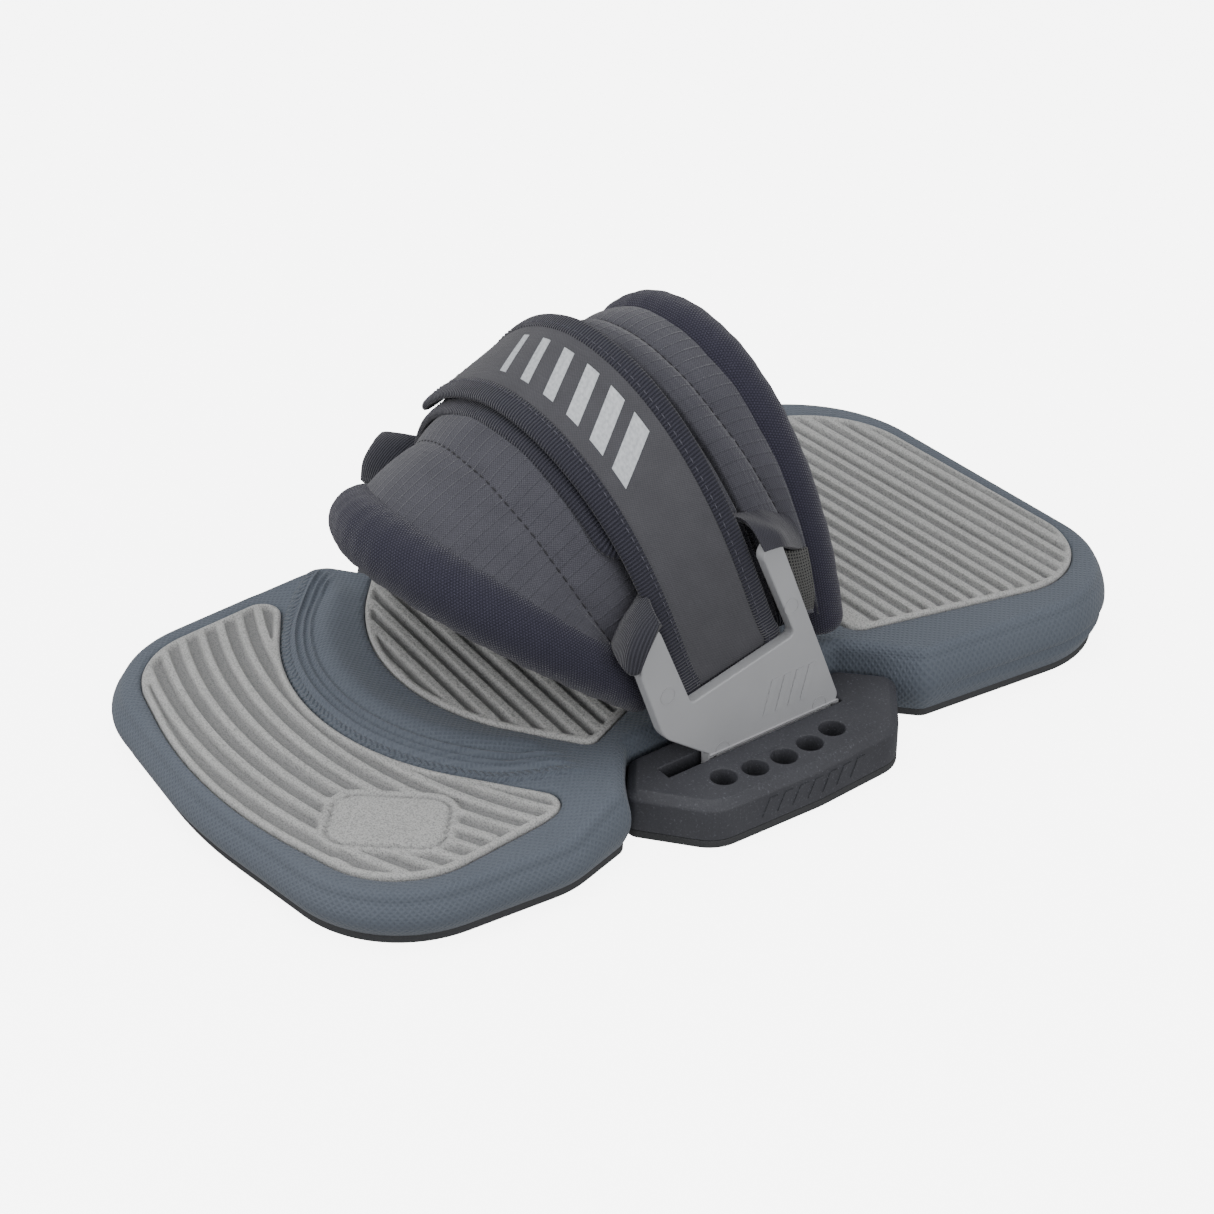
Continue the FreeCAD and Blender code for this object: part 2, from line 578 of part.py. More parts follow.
def make_pin(side, word):
    pin = DOCUMENT.addObject("Part::Cylinder", "anchor_pin_" + word)
    pin.Label = "anchor_pin_" + word
    pin.setExpression("Radius", bound("pin_radius"))
    pin.setExpression("Height", "2 * Sizes.pin_half_length")
    upright = FreeCAD.Rotation(FreeCAD.Vector(1, 0, 0), -90)
    shift = FreeCAD.Placement(FreeCAD.Vector(0, -size("pin_half_length"), 0), upright)
    pin.Placement = tilt_frame(side).multiply(shift)
    return pin


def make_strap_loop(side, word):
    """The sewn loop of webbing round the pin, with its end turned up towards the bar."""
    width = size("loop_half_width")
    outer = rod(size("loop_radius"), -width, 2 * width)
    inner = rod(size("loop_inner"), -width - 1, 2 * width + 2)
    near = size("loop_strip_inner") - size("pin_across")
    far = size("loop_strip_outer") - size("pin_across")
    low = FreeCAD.Vector(near if side == RIGHT else -far, -width, 0)
    strip = Part.makeBox(far - near, 2 * width, size("loop_strip_height"), low)
    shape = outer.fuse(strip).cut(inner)
    return new_feature("strap_loop_" + word, shape, tilt_frame(side))


# ---------------------------------------------------------------- saddle and straps


def new_feature(name, shape, placement=None):
    """A Part::Feature with its shape set before its placement."""
    feature = DOCUMENT.addObject("Part::Feature", name)
    feature.Label = name
    feature.Shape = shape
    if placement is not None:
        feature.Placement = placement
    return feature


def station(word, half="saddle_half"):
    """One arch of the saddle: its half widths, base and crest."""
    far = "front_far_power" if word.startswith("front") else "arch_far_power"
    return {
        "near": size(half), "far": size(half),
        "base": (size(word + "_base_along"), size(word + "_base_up")),
        "crest": (size(word + "_crest_along"), size(word + "_crest_up")),
        "power": size("arch_power"), "far_power": size(far), "lean": 1.0,
    }


def strap_edge(word, sink):
    """One edge line of a strap, sunk below the upper strap's outer face."""
    return {
        "near": size("strap_half_near") - sink, "far": size("strap_half_far") - sink,
        "base": (size("strap_%s_base_along" % word), size("strap_%s_base_up" % word)),
        "crest": (size("strap_%s_crest_along" % word), size("strap_%s_crest_up" % word) - sink),
        "power": size("strap_power"), "far_power": size("strap_far_power"),
        "lean": size("strap_lean_power"),
    }


def between(first, second, share):
    """The arch part of the way from one arch to the next."""
    def mix(a, b):
        return a + (b - a) * share
    return {
        "near": mix(first["near"], second["near"]), "far": mix(first["far"], second["far"]),
        "base": tuple(mix(a, b) for a, b in zip(first["base"], second["base"])),
        "crest": tuple(mix(a, b) for a, b in zip(first["crest"], second["crest"])),
        "power": mix(first["power"], second["power"]),
        "far_power": mix(first["far_power"], second["far_power"]),
        "lean": mix(first["lean"], second["lean"]),
    }


def arch_point(arch, degrees, grow=0.0):
    """A point of an arch, a squarish half ellipse that is rounder on its far, left side.

    0 degrees is the right-hand base and 180 the left-hand one.
    """
    angle = math.radians(degrees)
    cosine = math.cos(angle)
    share = 0.5 + 0.5 * cosine
    half = arch["far"] + (arch["near"] - arch["far"]) * share + grow
    power = arch["far_power"] if cosine < 0 else arch["power"]
    across = math.copysign(abs(cosine) ** (2 / power), cosine) * half
    rise = abs(math.sin(angle)) ** (2 / power)
    base_along, base_up = arch["base"]
    crest_along, crest_up = arch["crest"]
    along = base_along + (crest_along - base_along) * rise ** arch["lean"]
    return FreeCAD.Vector(across, along, base_up + (crest_up + grow - base_up) * rise)


def arch_grid(rows, offset, points):
    """Points on a skin over a row of (arch, start, end), at one offset from the arches."""
    grid = []
    for arch, start, end in rows:
        angles = [start + (end - start) * i / (points - 1) for i in range(points)]
        grid.append([arch_point(arch, angle, offset) for angle in angles])
    return grid


def skin(grid):
    surface = Part.BSplineSurface()
    surface.interpolate(grid)
    return surface


def between_skins(top, bottom):
    """The closed solid between two skins, walled with ruled strips along their four edges."""
    low_u, high_u, low_v, high_v = top.bounds()
    faces = [top.toShape(), bottom.toShape()]
    for turn, value in (("uIso", low_u), ("uIso", high_u), ("vIso", low_v), ("vIso", high_v)):
        upper = getattr(top, turn)(value).toShape()
        lower = getattr(bottom, turn)(value).toShape()
        faces.append(Part.makeRuledSurface(upper, lower))
    shell = Part.Shell(faces)
    shell.sewShape()
    solid = Part.Solid(shell)
    if solid.Volume < 0:
        solid.reverse()
    return solid


def make_band(name, rows, inner, outer, points=15):
    """A shell over a row of arches, between two offsets from them."""
    shape = between_skins(skin(arch_grid(rows, outer, points)), skin(arch_grid(rows, inner, points)))
    return new_feature(name, shape)


def saddle_arches():
    """The four arches that shape the saddle, from the toe edge to the heel edge."""
    return [station(word) for word in ("front", "toe_edge", "heel_edge", "rear")]


def saddle_starts():
    return [size("front_edge_start"), size("middle_start"), size("middle_start"),
            size("rear_edge_start")]


def saddle_rows(low, high, count):
    """Evenly spaced (arch, start, end) rows between two places counted in arches."""
    arches = saddle_arches()
    starts = saddle_starts()
    rows = []
    for index in range(count):
        place = low + (high - low) * index / (count - 1)
        first = min(int(place), len(arches) - 2)
        share = place - first
        start = starts[first] + (starts[first + 1] - starts[first]) * share
        rows.append((between(arches[first], arches[first + 1], share), start, 180 - start))
    return rows


def make_saddle():
    core = -size("core_thickness")
    gap = size("skin_gap")
    whole = saddle_rows(0.0, 3.0, 10)
    make_band("saddle_core", whole, core, 0.0)
    make_band("saddle_lining", whole, core - gap - size("lining_thickness"), core - gap)
    spans = (("front_panel", 0.22, 0.97), ("centre_panel", 1.0, 2.0), ("rear_panel", 2.03, 2.7))
    for name, low, high in spans:
        make_band(name, saddle_rows(low, high, 4), 2 * gap, 2 * gap + size("panel_thickness"))
    for word in ("front", "rear"):
        make_roll(word)


def make_roll(word):
    """A soft roll along one edge of the saddle, thickest over the top of the foot."""
    arch = station(word + "_roll", "roll_half")
    end = size("roll_end_angle")
    circles = []
    count = 15
    for index in range(count):
        degrees = end + (180 - 2 * end) * index / (count - 1)
        here = arch_point(arch, degrees)
        ahead = arch_point(arch, min(degrees + 1, 179.9)) - arch_point(arch, max(degrees - 1, 0.1))
        fullness = math.sin(math.radians(degrees)) ** 1.5
        thin = size(word + "_roll_end_radius")
        radius = thin + (size(word + "_roll_crest_radius") - thin) * fullness
        circles.append(Part.Wire(Part.makeCircle(radius, here, ahead)))
    return new_feature(word + "_roll", Part.makeLoft(circles, True, False))


def make_strap_band(name, sink, thickness, angles, shares=(0.0, 1.0)):
    """A strip of an over-strap between two shares of its width and two angles."""
    toe = strap_edge("toe", sink)
    heel = strap_edge("heel", sink)
    rows = []
    for index in range(4):
        share = shares[0] + (shares[1] - shares[0]) * index / 3
        rows.append((between(toe, heel, share), angles[0], angles[1]))
    return make_band(name, rows, 0.0, thickness, 21)


def make_straps():
    """Two straps that cross over the saddle and grip each other with hook and loop."""
    strap = size("strap_thickness")
    patch = size("patch_thickness")
    edge = size("binding_width") / size("strap_width")
    end = size("strap_end_angle")
    near = size("lower_end_angle")
    binding = size("binding_thickness")
    above = -size("binding_gap")
    bind_from = size("binding_start_angle")
    make_strap_band("upper_strap", strap, strap, (0.0, end))
    make_strap_band("upper_binding_front", above, binding, (bind_from, end), (0.0, edge))
    make_strap_band("upper_binding_rear", above, binding, (bind_from, end), (1.0 - edge, 1.0))
    make_strap_band("hook_patch", strap + patch, patch,
                    (size("hook_near_angle"), size("patch_far_angle")), (edge, 1.0 - edge))
    lower = strap + 2 * patch + size("layer_gap")
    make_strap_band("loop_patch", lower, patch,
                    (size("patch_near_angle"), size("patch_far_angle")), (edge, 1.0 - edge))
    make_strap_band("lower_strap", lower + strap, strap, (near, 180.0))


def make_tab(name, side, outer, along, up, length):
    """A padded webbing tab that fills the gap between the saddle and a bracket arm."""
    tab = DOCUMENT.addObject("Part::Box", name)
    tab.Label = name
    tab.setExpression("Length", "Sizes.%s - Sizes.tab_inner" % outer)
    tab.setExpression("Width", bound(length))
    tab.setExpression("Height", bound("tab_height"))
    across = size("tab_inner") if side == RIGHT else -size(outer)
    tab.Placement.Base = FreeCAD.Vector(across, size(along), size(up))


def make_tabs():
    for side, word in ((RIGHT, "right"), (LEFT, "left")):
        make_tab("arm_tab_front_" + word, side, "tab_toe_outer", "tab_toe_along", "tab_toe_up",
                 "tab_length")
        make_tab("arm_tab_rear_" + word, side, "tab_heel_outer", "tab_heel_along", "tab_heel_up",
                 "tab_heel_length")


# ---------------------------------------------------------------- build, check and write


NODES = [
    "base_sheet", "chassis", "pad_body", "toe_insert", "arch_insert", "heel_insert",
    "bracket_right", "bracket_left", "anchor_pin_right", "anchor_pin_left",
    "strap_loop_right", "strap_loop_left",
    "saddle_core", "saddle_lining", "front_roll", "rear_roll",
    "front_panel", "centre_panel", "rear_panel",
    "arm_tab_front_right", "arm_tab_rear_right", "arm_tab_front_left", "arm_tab_rear_left",
    "upper_strap", "upper_binding_front", "upper_binding_rear", "hook_patch",
    "lower_strap", "loop_patch",
]


def build():
    fill_sheet()
    make_base_sheet()
    make_chassis()
    make_pad_body()
    make_toe_insert()
    make_arch_insert()
    make_heel_insert()
    for side, word in ((RIGHT, "right"), (LEFT, "left")):
        bracket = make_bracket(side, word)
        DOCUMENT.recompute()
        bracket.Label = "bracket_plate_" + word
        new_feature("bracket_with_ears_" + word, add_ears(bracket, side)).Label = "bracket_" + word
        make_pin(side, word)
        make_strap_loop(side, word)
    make_saddle()
    make_straps()
    make_tabs()
    DOCUMENT.recompute()


def find(label):
    return [item for item in DOCUMENT.Objects if item.Label == label][0]


def check():
    for item in DOCUMENT.Objects:
        if "Invalid" in item.State or "Error" in item.State:
            raise ValueError("%s did not build: %s" % (item.Label, item.State))
    for name in NODES:
        shape = find(name).Shape
        if shape.isNull() or not shape.isValid():
            raise ValueError("%s has no valid shape" % name)


def write():
    os.makedirs("parts", exist_ok=True)
    for name in NODES:
        shape = find(name).Shape
        shape.exportStep(os.path.join("parts", name + ".step"))
        print("%-22s %2d solid %10.1f mm3" % (name, len(shape.Solids), shape.Volume))


build()
check()
write()
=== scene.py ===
import math

import bmesh
import bpy
import numpy as np
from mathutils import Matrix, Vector
from mathutils.geometry import delaunay_2d_cdt


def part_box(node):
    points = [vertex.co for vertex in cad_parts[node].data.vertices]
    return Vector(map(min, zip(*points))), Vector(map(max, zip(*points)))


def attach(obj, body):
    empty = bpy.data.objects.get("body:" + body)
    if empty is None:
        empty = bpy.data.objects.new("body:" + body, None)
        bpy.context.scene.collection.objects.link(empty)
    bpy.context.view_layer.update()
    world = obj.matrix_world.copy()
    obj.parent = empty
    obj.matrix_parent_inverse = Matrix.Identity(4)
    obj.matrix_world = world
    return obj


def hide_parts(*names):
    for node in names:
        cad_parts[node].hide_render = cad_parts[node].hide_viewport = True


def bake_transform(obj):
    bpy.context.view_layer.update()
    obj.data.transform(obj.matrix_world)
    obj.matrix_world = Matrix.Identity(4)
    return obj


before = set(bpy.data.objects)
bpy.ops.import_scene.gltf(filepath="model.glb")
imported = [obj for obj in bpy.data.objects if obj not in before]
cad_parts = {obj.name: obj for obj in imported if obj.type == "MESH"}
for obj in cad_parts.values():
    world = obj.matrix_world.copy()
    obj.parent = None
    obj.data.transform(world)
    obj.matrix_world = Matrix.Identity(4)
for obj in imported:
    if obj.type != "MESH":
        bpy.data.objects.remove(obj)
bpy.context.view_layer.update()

# Sizes are in millimetres in the part's own frame, and meshes are written in metres.
MM = 0.001
SIDES = ((1, "right"), (-1, "left"))
UP = np.array([0.0, 0.0, 1.0])

# Foot arches of the saddle, from toe to heel: base along, base up, crest along, crest up.
SADDLE_ARCHES = np.array([
    [-27.0, 33.0, -77.0, 76.0],
    [-14.0, 31.0, -38.0, 96.0],
    [20.0, 34.0, -2.0, 111.0],
    [33.0, 33.0, 23.0, 112.0],
])
FRONT_ROLL_ARCH = (-27.0, 33.5, -77.0, 72.0)
REAR_ROLL_ARCH = (37.5, 28.0, 25.0, 110.5)
SADDLE_HALF = 56.6
ROLL_HALF = 54.0
SADDLE_POWERS = (2.15, 2.0)
FRONT_FAR_POWER = 1.8
# The upper strap's outer face: its toe and heel edges, half widths at its two ends, and width.
STRAP_TOE_EDGE = (-21.6, 36.9, -38.0, 104.0)
STRAP_HEEL_EDGE = (12.0, 44.2, -7.0, 119.4)
STRAP_HALVES = (64.2, 68.2)
STRAP_POWERS = (2.05, 1.85)
STRAP_LEAN = 0.7
STRAP_WIDTH = 34.5
STRAP_END = 139.0
LOWER_START = 36.0
BINDING_WIDTH = 5.4
STRAP_THICK = 2.0
STRAP_INSET = 0.4
STRAP_CORNER = 9.0
STRAP_TAIL = 8.0
# How the brackets' bars lean
BAR_TILT = math.radians(12.1)
# Centre and radius of the arc that the toe ridge follows
RIDGE_CENTRE = np.array([-9.4, -16.5])
RIDGE_REACH = 80.0


# ---------------------------------------------------------------- numbers and outlines


def smooth(start, stop, value):
    """0 before start, 1 past stop and a smooth rise between; start may be the higher one."""
    share = np.clip((value - start) / (stop - start), 0.0, 1.0)
    return share * share * (3.0 - 2.0 * share)


def node_box(node):
    """Lowest and highest corner of a CAD node, in millimetres."""
    low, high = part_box(node)
    return np.array(low) / MM, np.array(high) / MM


def section(node, height):
    """The longest closed loop in which a level plane cuts a CAD node, anticlockwise."""
    cut = bmesh.new()
    cut.from_mesh(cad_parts[node].data)
    bmesh.ops.remove_doubles(cut, verts=cut.verts, dist=1e-6)
    found = bmesh.ops.bisect_plane(
        cut, geom=cut.verts[:] + cut.edges[:] + cut.faces[:], dist=1e-7,
        plane_co=(0, 0, height * MM), plane_no=UP, clear_inner=True, clear_outer=True)
    cut.verts.index_update()
    beside = {}
    for item in found["geom_cut"]:
        if isinstance(item, bmesh.types.BMEdge):
            first, second = item.verts[0].index, item.verts[1].index
            beside.setdefault(first, []).append(second)
            beside.setdefault(second, []).append(first)
    places = {vert.index: (vert.co.x / MM, vert.co.y / MM) for vert in cut.verts}
    cut.free()
    waiting = sorted(beside, key=lambda index: places[index][::-1])
    loops = []
    while waiting:
        loop = [waiting.pop(0)]
        while True:
            ahead = [index for index in sorted(beside[loop[-1]]) if index in waiting]
            if not ahead:
                break
            waiting.remove(ahead[0])
            loop.append(ahead[0])
        loops.append(np.array([places[index] for index in loop]))
    longest = max(loops, key=lambda loop: np.linalg.norm(np.diff(loop, axis=0), axis=1).sum())
    after = np.roll(longest, -1, 0)
    turn = (longest[:, 0] * after[:, 1] - longest[:, 1] * after[:, 0]).sum()
    return longest if turn > 0 else longest[::-1]


def lengths(points):
    """Distance along a line of points, from 0 at the first."""
    return np.concatenate([[0.0], np.cumsum(np.linalg.norm(np.diff(points, axis=0), axis=1))])


def even(line, spacing, closed=False):
    """The same line with evenly spaced points; a closed line doesn't repeat its first point."""
    line = np.asarray(line, float)
    whole = np.vstack([line, line[:1]]) if closed else line
    places = lengths(whole)
    steps = max(int(round(places[-1] / spacing)), 1)
    wanted = np.linspace(0.0, places[-1], steps + 1)
    made = np.column_stack([np.interp(wanted, places, column) for column in whole.T])
    return made[:-1] if closed else made


def outward(loop):
    """Unit normals that point out of an anticlockwise loop."""
    ahead = np.roll(loop, -1, 0) - np.roll(loop, 1, 0)
    ahead = ahead / np.linalg.norm(ahead, axis=1)[:, None]
    return np.column_stack([ahead[:, 1], -ahead[:, 0]])


def depth(points, loop):
    """Distance from points to a closed loop, positive inside it."""
    nearest = np.full(len(points), 1e9)
    inside = np.zeros(len(points), bool)
    for start, end in zip(loop, np.roll(loop, -1, 0)):
        run = end - start
        share = np.clip((points - start) @ run / max(run @ run, 1e-12), 0, 1)
        gap = points - start - share[:, None] * run
        nearest = np.minimum(nearest, (gap ** 2).sum(1))
        crossed = (start[1] > points[:, 1]) != (end[1] > points[:, 1])
        rise = run[1] if run[1] else 1e-12
        inside ^= crossed & (points[:, 0] < start[0] + (points[:, 1] - start[1]) * run[0] / rise)
    return np.where(inside, 1.0, -1.0) * np.sqrt(nearest)


def grid(low, high, step_across, step_along):
    """A level grid of points between two corners."""
    across = np.arange(low[0], high[0], step_across)
    along = np.arange(low[1], high[1], step_along)
    return np.array(np.meshgrid(across, along)).reshape(2, -1).T


def polar_grid(centre, reaches, step, start=-180.0, stop=0.0):
    """Points on arcs about a centre, in line from arc to arc and about a step apart along them."""
    count = int(math.radians(stop - start) * np.mean(reaches) / step)
    turn = np.radians(np.linspace(start, stop, count))
    ring = np.column_stack([np.cos(turn), np.sin(turn)])
    return np.vstack([centre + reach * ring for reach in reaches])


# ---------------------------------------------------------------- pieces and skins


def new_piece(name, points, faces, uv, body, slot, finish, nodes=(), sharp=50.0):
    """A closed mesh piece from points in millimetres, that rides on a body if one is given."""
    mesh = bpy.data.meshes.new(name)
    mesh.from_pydata((np.asarray(points) * MM).tolist(), [], [list(face) for face in faces])
    layer = mesh.uv_layers.new(name="cloth")
    layer.data.foreach_set("uv", np.asarray(uv, np.float32).ravel())
    shape = bmesh.new()
    shape.from_mesh(mesh)
    bmesh.ops.remove_doubles(shape, verts=shape.verts, dist=2e-6)
    gaps = [edge for edge in shape.edges if edge.is_boundary]
    bmesh.ops.holes_fill(shape, edges=gaps, sides=12)
    bmesh.ops.recalc_face_normals(shape, faces=shape.faces)
    shape.to_mesh(mesh)
    shape.free()
    mesh.polygons.foreach_set("use_smooth", [True] * len(mesh.polygons))
    mesh.set_sharp_from_angle(angle=math.radians(sharp))
    mesh.materials.append(finish)
    piece = bpy.data.objects.new(name, mesh)
    bpy.context.scene.collection.objects.link(piece)
    if body:
        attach(piece, body)
    if nodes:
        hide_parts(*nodes)
    return piece


def loft(rings, closed=False):
    """Points, faces and face-corner coordinates of a skin through rings, with capped ends."""
    rings = np.asarray(rings, float)
    count, around = rings.shape[:2]
    along = lengths(rings.mean(1)) if not closed else lengths(rings[:, 0])
    middle = rings[count // 2]
    across = lengths(np.vstack([middle, middle[:1]]))
    faces, uv = [], []
    for row in range(count if closed else count - 1):
        after = (row + 1) % count
        ahead = along[row + 1] if row + 1 < count else along[row] + along[1]
        for column in range(around):
            beside = (column + 1) % around
            faces.append((row * around + column, row * around + beside,
                          after * around + beside, after * around + column))
            uv += [(along[row], across[column]), (along[row], across[column + 1]),
                   (ahead, across[column + 1]), (ahead, across[column])]
    if not closed:
        for row in (0, count - 1):
            faces.append([row * around + column for column in range(around)])
            uv += [(along[row], across[column]) for column in range(around)]
    return rings.reshape(-1, 3), faces, uv


def join(parts):
    """One set of points, faces and face-corner coordinates from several."""
    points, faces, uv = [], [], []
    total = 0
    for some_points, some_faces, some_uv in parts:
        points.append(np.asarray(some_points, float))
        faces += [[index + total for index in face] for face in some_faces]
        uv += list(some_uv)
        total += len(some_points)
    return np.vstack(points), faces, uv


def top_skin(outline, loose, height, holes=()):
    """A triangulated skin inside an outline, whose heights come from a function of flat points.

    loose are points to use inside it, and holes are loops that it leaves open.
    """
    loops, total = [], 0
    for loop in (outline, *holes):
        loops.append(list(range(total, total + len(loop))))
        total += len(loop)
    spots = [Vector(point) for point in np.vstack([outline, *holes, loose])]
    made = delaunay_2d_cdt(spots, [], loops, 1, 1e-4, True)
    flat = np.array([tuple(point) for point in made[0]])
    triangles = [face for face, inside in zip(made[2], made[5]) if list(inside) == [0]]
    points = np.column_stack([flat, height(flat)])
    return points, triangles, flat[np.array(triangles)].reshape(-1, 2)


def wall(upper, lower):
    """A wall between two rings of the same count."""
    count = len(upper)
    places = lengths(np.vstack([upper, upper[:1]]))
    faces, uv = [], []
    for i in range(count):
        after = (i + 1) % count
        faces.append((i, after, count + after, count + i))
        fall = np.linalg.norm(upper[i] - lower[i])
        uv += [(places[i], fall), (places[i + 1], fall), (places[i + 1], 0), (places[i], 0)]
    return np.vstack([upper, lower]), faces, uv


def lid(ring):
    """A flat face over a ring."""
    return ring, [list(range(len(ring)))], ring[:, :2]


def level(loop, height):
    """A flat loop lifted to a height, which may be a number or one for each point."""
    return np.column_stack([loop, np.broadcast_to(height, len(loop))])


# ---------------------------------------------------------------- materials


class Finish:
    """One procedural material, with short names for the nodes that it needs."""

    def __init__(self, name, colour, roughness, **sockets):
        self.material = bpy.data.materials.new(name)
        self.material.use_nodes = True
        self.tree = self.material.node_tree
        self.shader = self.tree.nodes["Principled BSDF"]
        self.feed(self.shader.inputs["Base Color"], (*colour, 1.0))
        self.feed(self.shader.inputs["Roughness"], roughness)
        for socket, value in sockets.items():
            self.feed(self.shader.inputs[socket.replace("_", " ")], value)

    def feed(self, socket, value):
        if isinstance(value, bpy.types.NodeSocket):
            self.tree.links.new(value, socket)
        else:
            socket.default_value = value

    def node(self, kind, inputs, output=0, **settings):
        made = self.tree.nodes.new("ShaderNode" + kind)
        for key, value in settings.items():
            setattr(made, key, value)
        for socket, value in inputs.items():
            self.feed(made.inputs[socket], value)
        return made.outputs[output]

    def math(self, operation, first, second=0.0, third=0.0):
        return self.node("Math", {0: first, 1: second, 2: third}, operation=operation)

    def place(self, cloth=False):
        """Coordinates in millimetres: the cloth's own flat ones, or the piece's."""
        if cloth:
            return self.node("UVMap", {}, uv_map="cloth")
        at = self.node("TexCoord", {}, "Object")
        return self.node("VectorMath", {0: at, 1: (1000, 1000, 1000)}, operation="MULTIPLY")

    def split(self, at):
        made = self.tree.nodes.new("ShaderNodeSeparateXYZ")
        self.feed(made.inputs[0], at)
        return made.outputs

    def noise(self, at, size, detail=3.0):
        """Noise from 0 to 1 with lumps about the given size."""
        return self.node("TexNoise", {"Vector": at, "Scale": 1.0 / size, "Detail": detail})

    def wave(self, value, pitch):
        """A wave from 0 to 1 with the given pitch."""
        turned = self.math("MULTIPLY_ADD", value, 2 * math.pi / pitch)
        return self.math("MULTIPLY_ADD", self.math("SINE", turned), 0.5, 0.5)

    def mix(self, share, first, second):
        """A colour between two, each a colour or a socket."""
        made = self.tree.nodes.new("ShaderNodeMix")
        made.data_type = "RGBA"
        for index, value in ((0, share), (6, first), (7, second)):
            value = (*value, 1.0) if isinstance(value, tuple) else value
            self.feed(made.inputs[index], value)
        return made.outputs[2]

    def ramp(self, value, low, high):
        """0 at low, 1 at high."""
        return self.node("MapRange", {"Value": value, "From Min": low, "From Max": high})

    def colour(self, socket):
        self.feed(self.shader.inputs["Base Color"], socket)

    def rough(self, value, low, high):
        made = self.node("MapRange", {"Value": value, "To Min": low, "To Max": high})
        self.feed(self.shader.inputs["Roughness"], made)

    def bump(self, height, size, normal=None):
        """Lay a bump of the given height, in millimetres, over the one before."""
        inputs = {"Height": height, "Distance": size * MM}
        if normal is not None:
            inputs["Normal"] = normal
        made = self.node("Bump", inputs)
        self.feed(self.shader.inputs["Normal"], made)
        return made


def weave(finish, dark, light, pitch, relief):
    """Plain woven threads in the cloth's own coordinates."""
    mottle = 0.35
    at = finish.place(cloth=True)
    u, v, _ = finish.split(at)
    warp = finish.math("SINE", finish.math("MULTIPLY", u, math.pi / pitch))
    weft = finish.math("SINE", finish.math("MULTIPLY", v, math.pi / pitch))
    over = finish.math("MULTIPLY_ADD", finish.math("MULTIPLY", warp, weft), 0.5, 0.5)
    fibres = finish.noise(at, pitch * 0.6, 2.0)
    drawn_out = finish.node("CombineXYZ", {0: finish.math("MULTIPLY", u, 0.12), 1: v})
    creases = finish.noise(drawn_out, 1.3, 3.0)
    patches = finish.noise(at, 9.0, 3.0)
    share = finish.math("MULTIPLY_ADD", fibres, 0.45, finish.math("MULTIPLY", over, 0.55))
    share = finish.math("MULTIPLY_ADD", patches, mottle, finish.math("SUBTRACT", share, mottle / 2))
    finish.colour(finish.mix(share, dark, light))
    threads = finish.bump(finish.math("ADD", over, finish.math("MULTIPLY", fibres, 0.5)), relief)
    return finish.bump(creases, relief * 3.0, threads)


def ripstop(finish, dark, light, pitch, relief):
    """A woven cloth with a thin raised thread every few millimetres."""
    cloth = weave(finish, dark, light, pitch, relief)
    u = finish.split(finish.place(cloth=True))[0]
    finish.bump(finish.ramp(finish.wave(u, 3.6), 0.9, 1.0), 0.17, cloth)


def knit(finish, dark, light, pitch, relief):
    """Rows of small knitted stitches, each row half a stitch further on."""
    at = finish.place(cloth=True)
    u, v, _ = finish.split(at)
    row = finish.math("FLOOR", finish.math("DIVIDE", v, pitch))
    shift = finish.math("MULTIPLY", row, math.pi)
    along = finish.math("ADD", finish.math("MULTIPLY", u, 2 * math.pi / pitch), shift)
    loops = finish.math("MULTIPLY_ADD", finish.math("SINE", along), 0.5, 0.5)
    across = finish.math("ABSOLUTE", finish.math("SINE", finish.math("MULTIPLY", v, math.pi / pitch)))
    height = finish.math("MULTIPLY", loops, across)
    fuzz = finish.noise(at, 0.5, 2.0)
    share = finish.math("MULTIPLY_ADD", fuzz, 0.35, finish.math("MULTIPLY", height, 0.75))
    finish.colour(finish.mix(share, dark, light))
    finish.bump(finish.math("MULTIPLY_ADD", fuzz, 0.3, height), relief)


def ribs(finish, dark, light, pitch, relief):
    """Cross ribs of a grosgrain tape."""
    at = finish.place(cloth=True)
    height = finish.wave(finish.split(at)[0], pitch)
    fuzz = finish.noise(at, 0.4, 2.0)
    share = finish.math("MULTIPLY_ADD", fuzz, 0.3, finish.math("MULTIPLY", height, 0.7))
    finish.colour(finish.mix(share, dark, light))
    finish.bump(finish.math("MULTIPLY_ADD", fuzz, 0.25, height), relief)


def foam_finish():
    """Slate blue closed-cell foam with a fine pressed lattice."""
    finish = Finish("slate_foam", (0.085, 0.112, 0.14), 0.72, Sheen_Weight=0.12, Sheen_Roughness=0.5)
    at = finish.place(cloth=True)
    u, v, _ = finish.split(at)
    rising = finish.wave(finish.math("ADD", u, v), 1.9)
    falling = finish.wave(finish.math("SUBTRACT", u, v), 1.9)
    lattice = finish.math("MAXIMUM", rising, falling)
    pores = finish.noise(finish.place(), 0.35, 2.0)
    clouds = finish.noise(finish.place(), 28.0, 3.0)
    tone = finish.mix(clouds, (0.064, 0.081, 0.108), (0.09, 0.108, 0.136))
    tone = finish.mix(finish.math("MULTIPLY", lattice, 0.35), tone, (0.125, 0.143, 0.17))
    finish.colour(tone)
    finish.rough(pores, 0.62, 0.86)
    fine = finish.bump(finish.math("MULTIPLY_ADD", pores, 0.4, lattice), 0.16)
    finish.bump(ridge_chevrons(finish), 0.45, fine)
    return finish.material


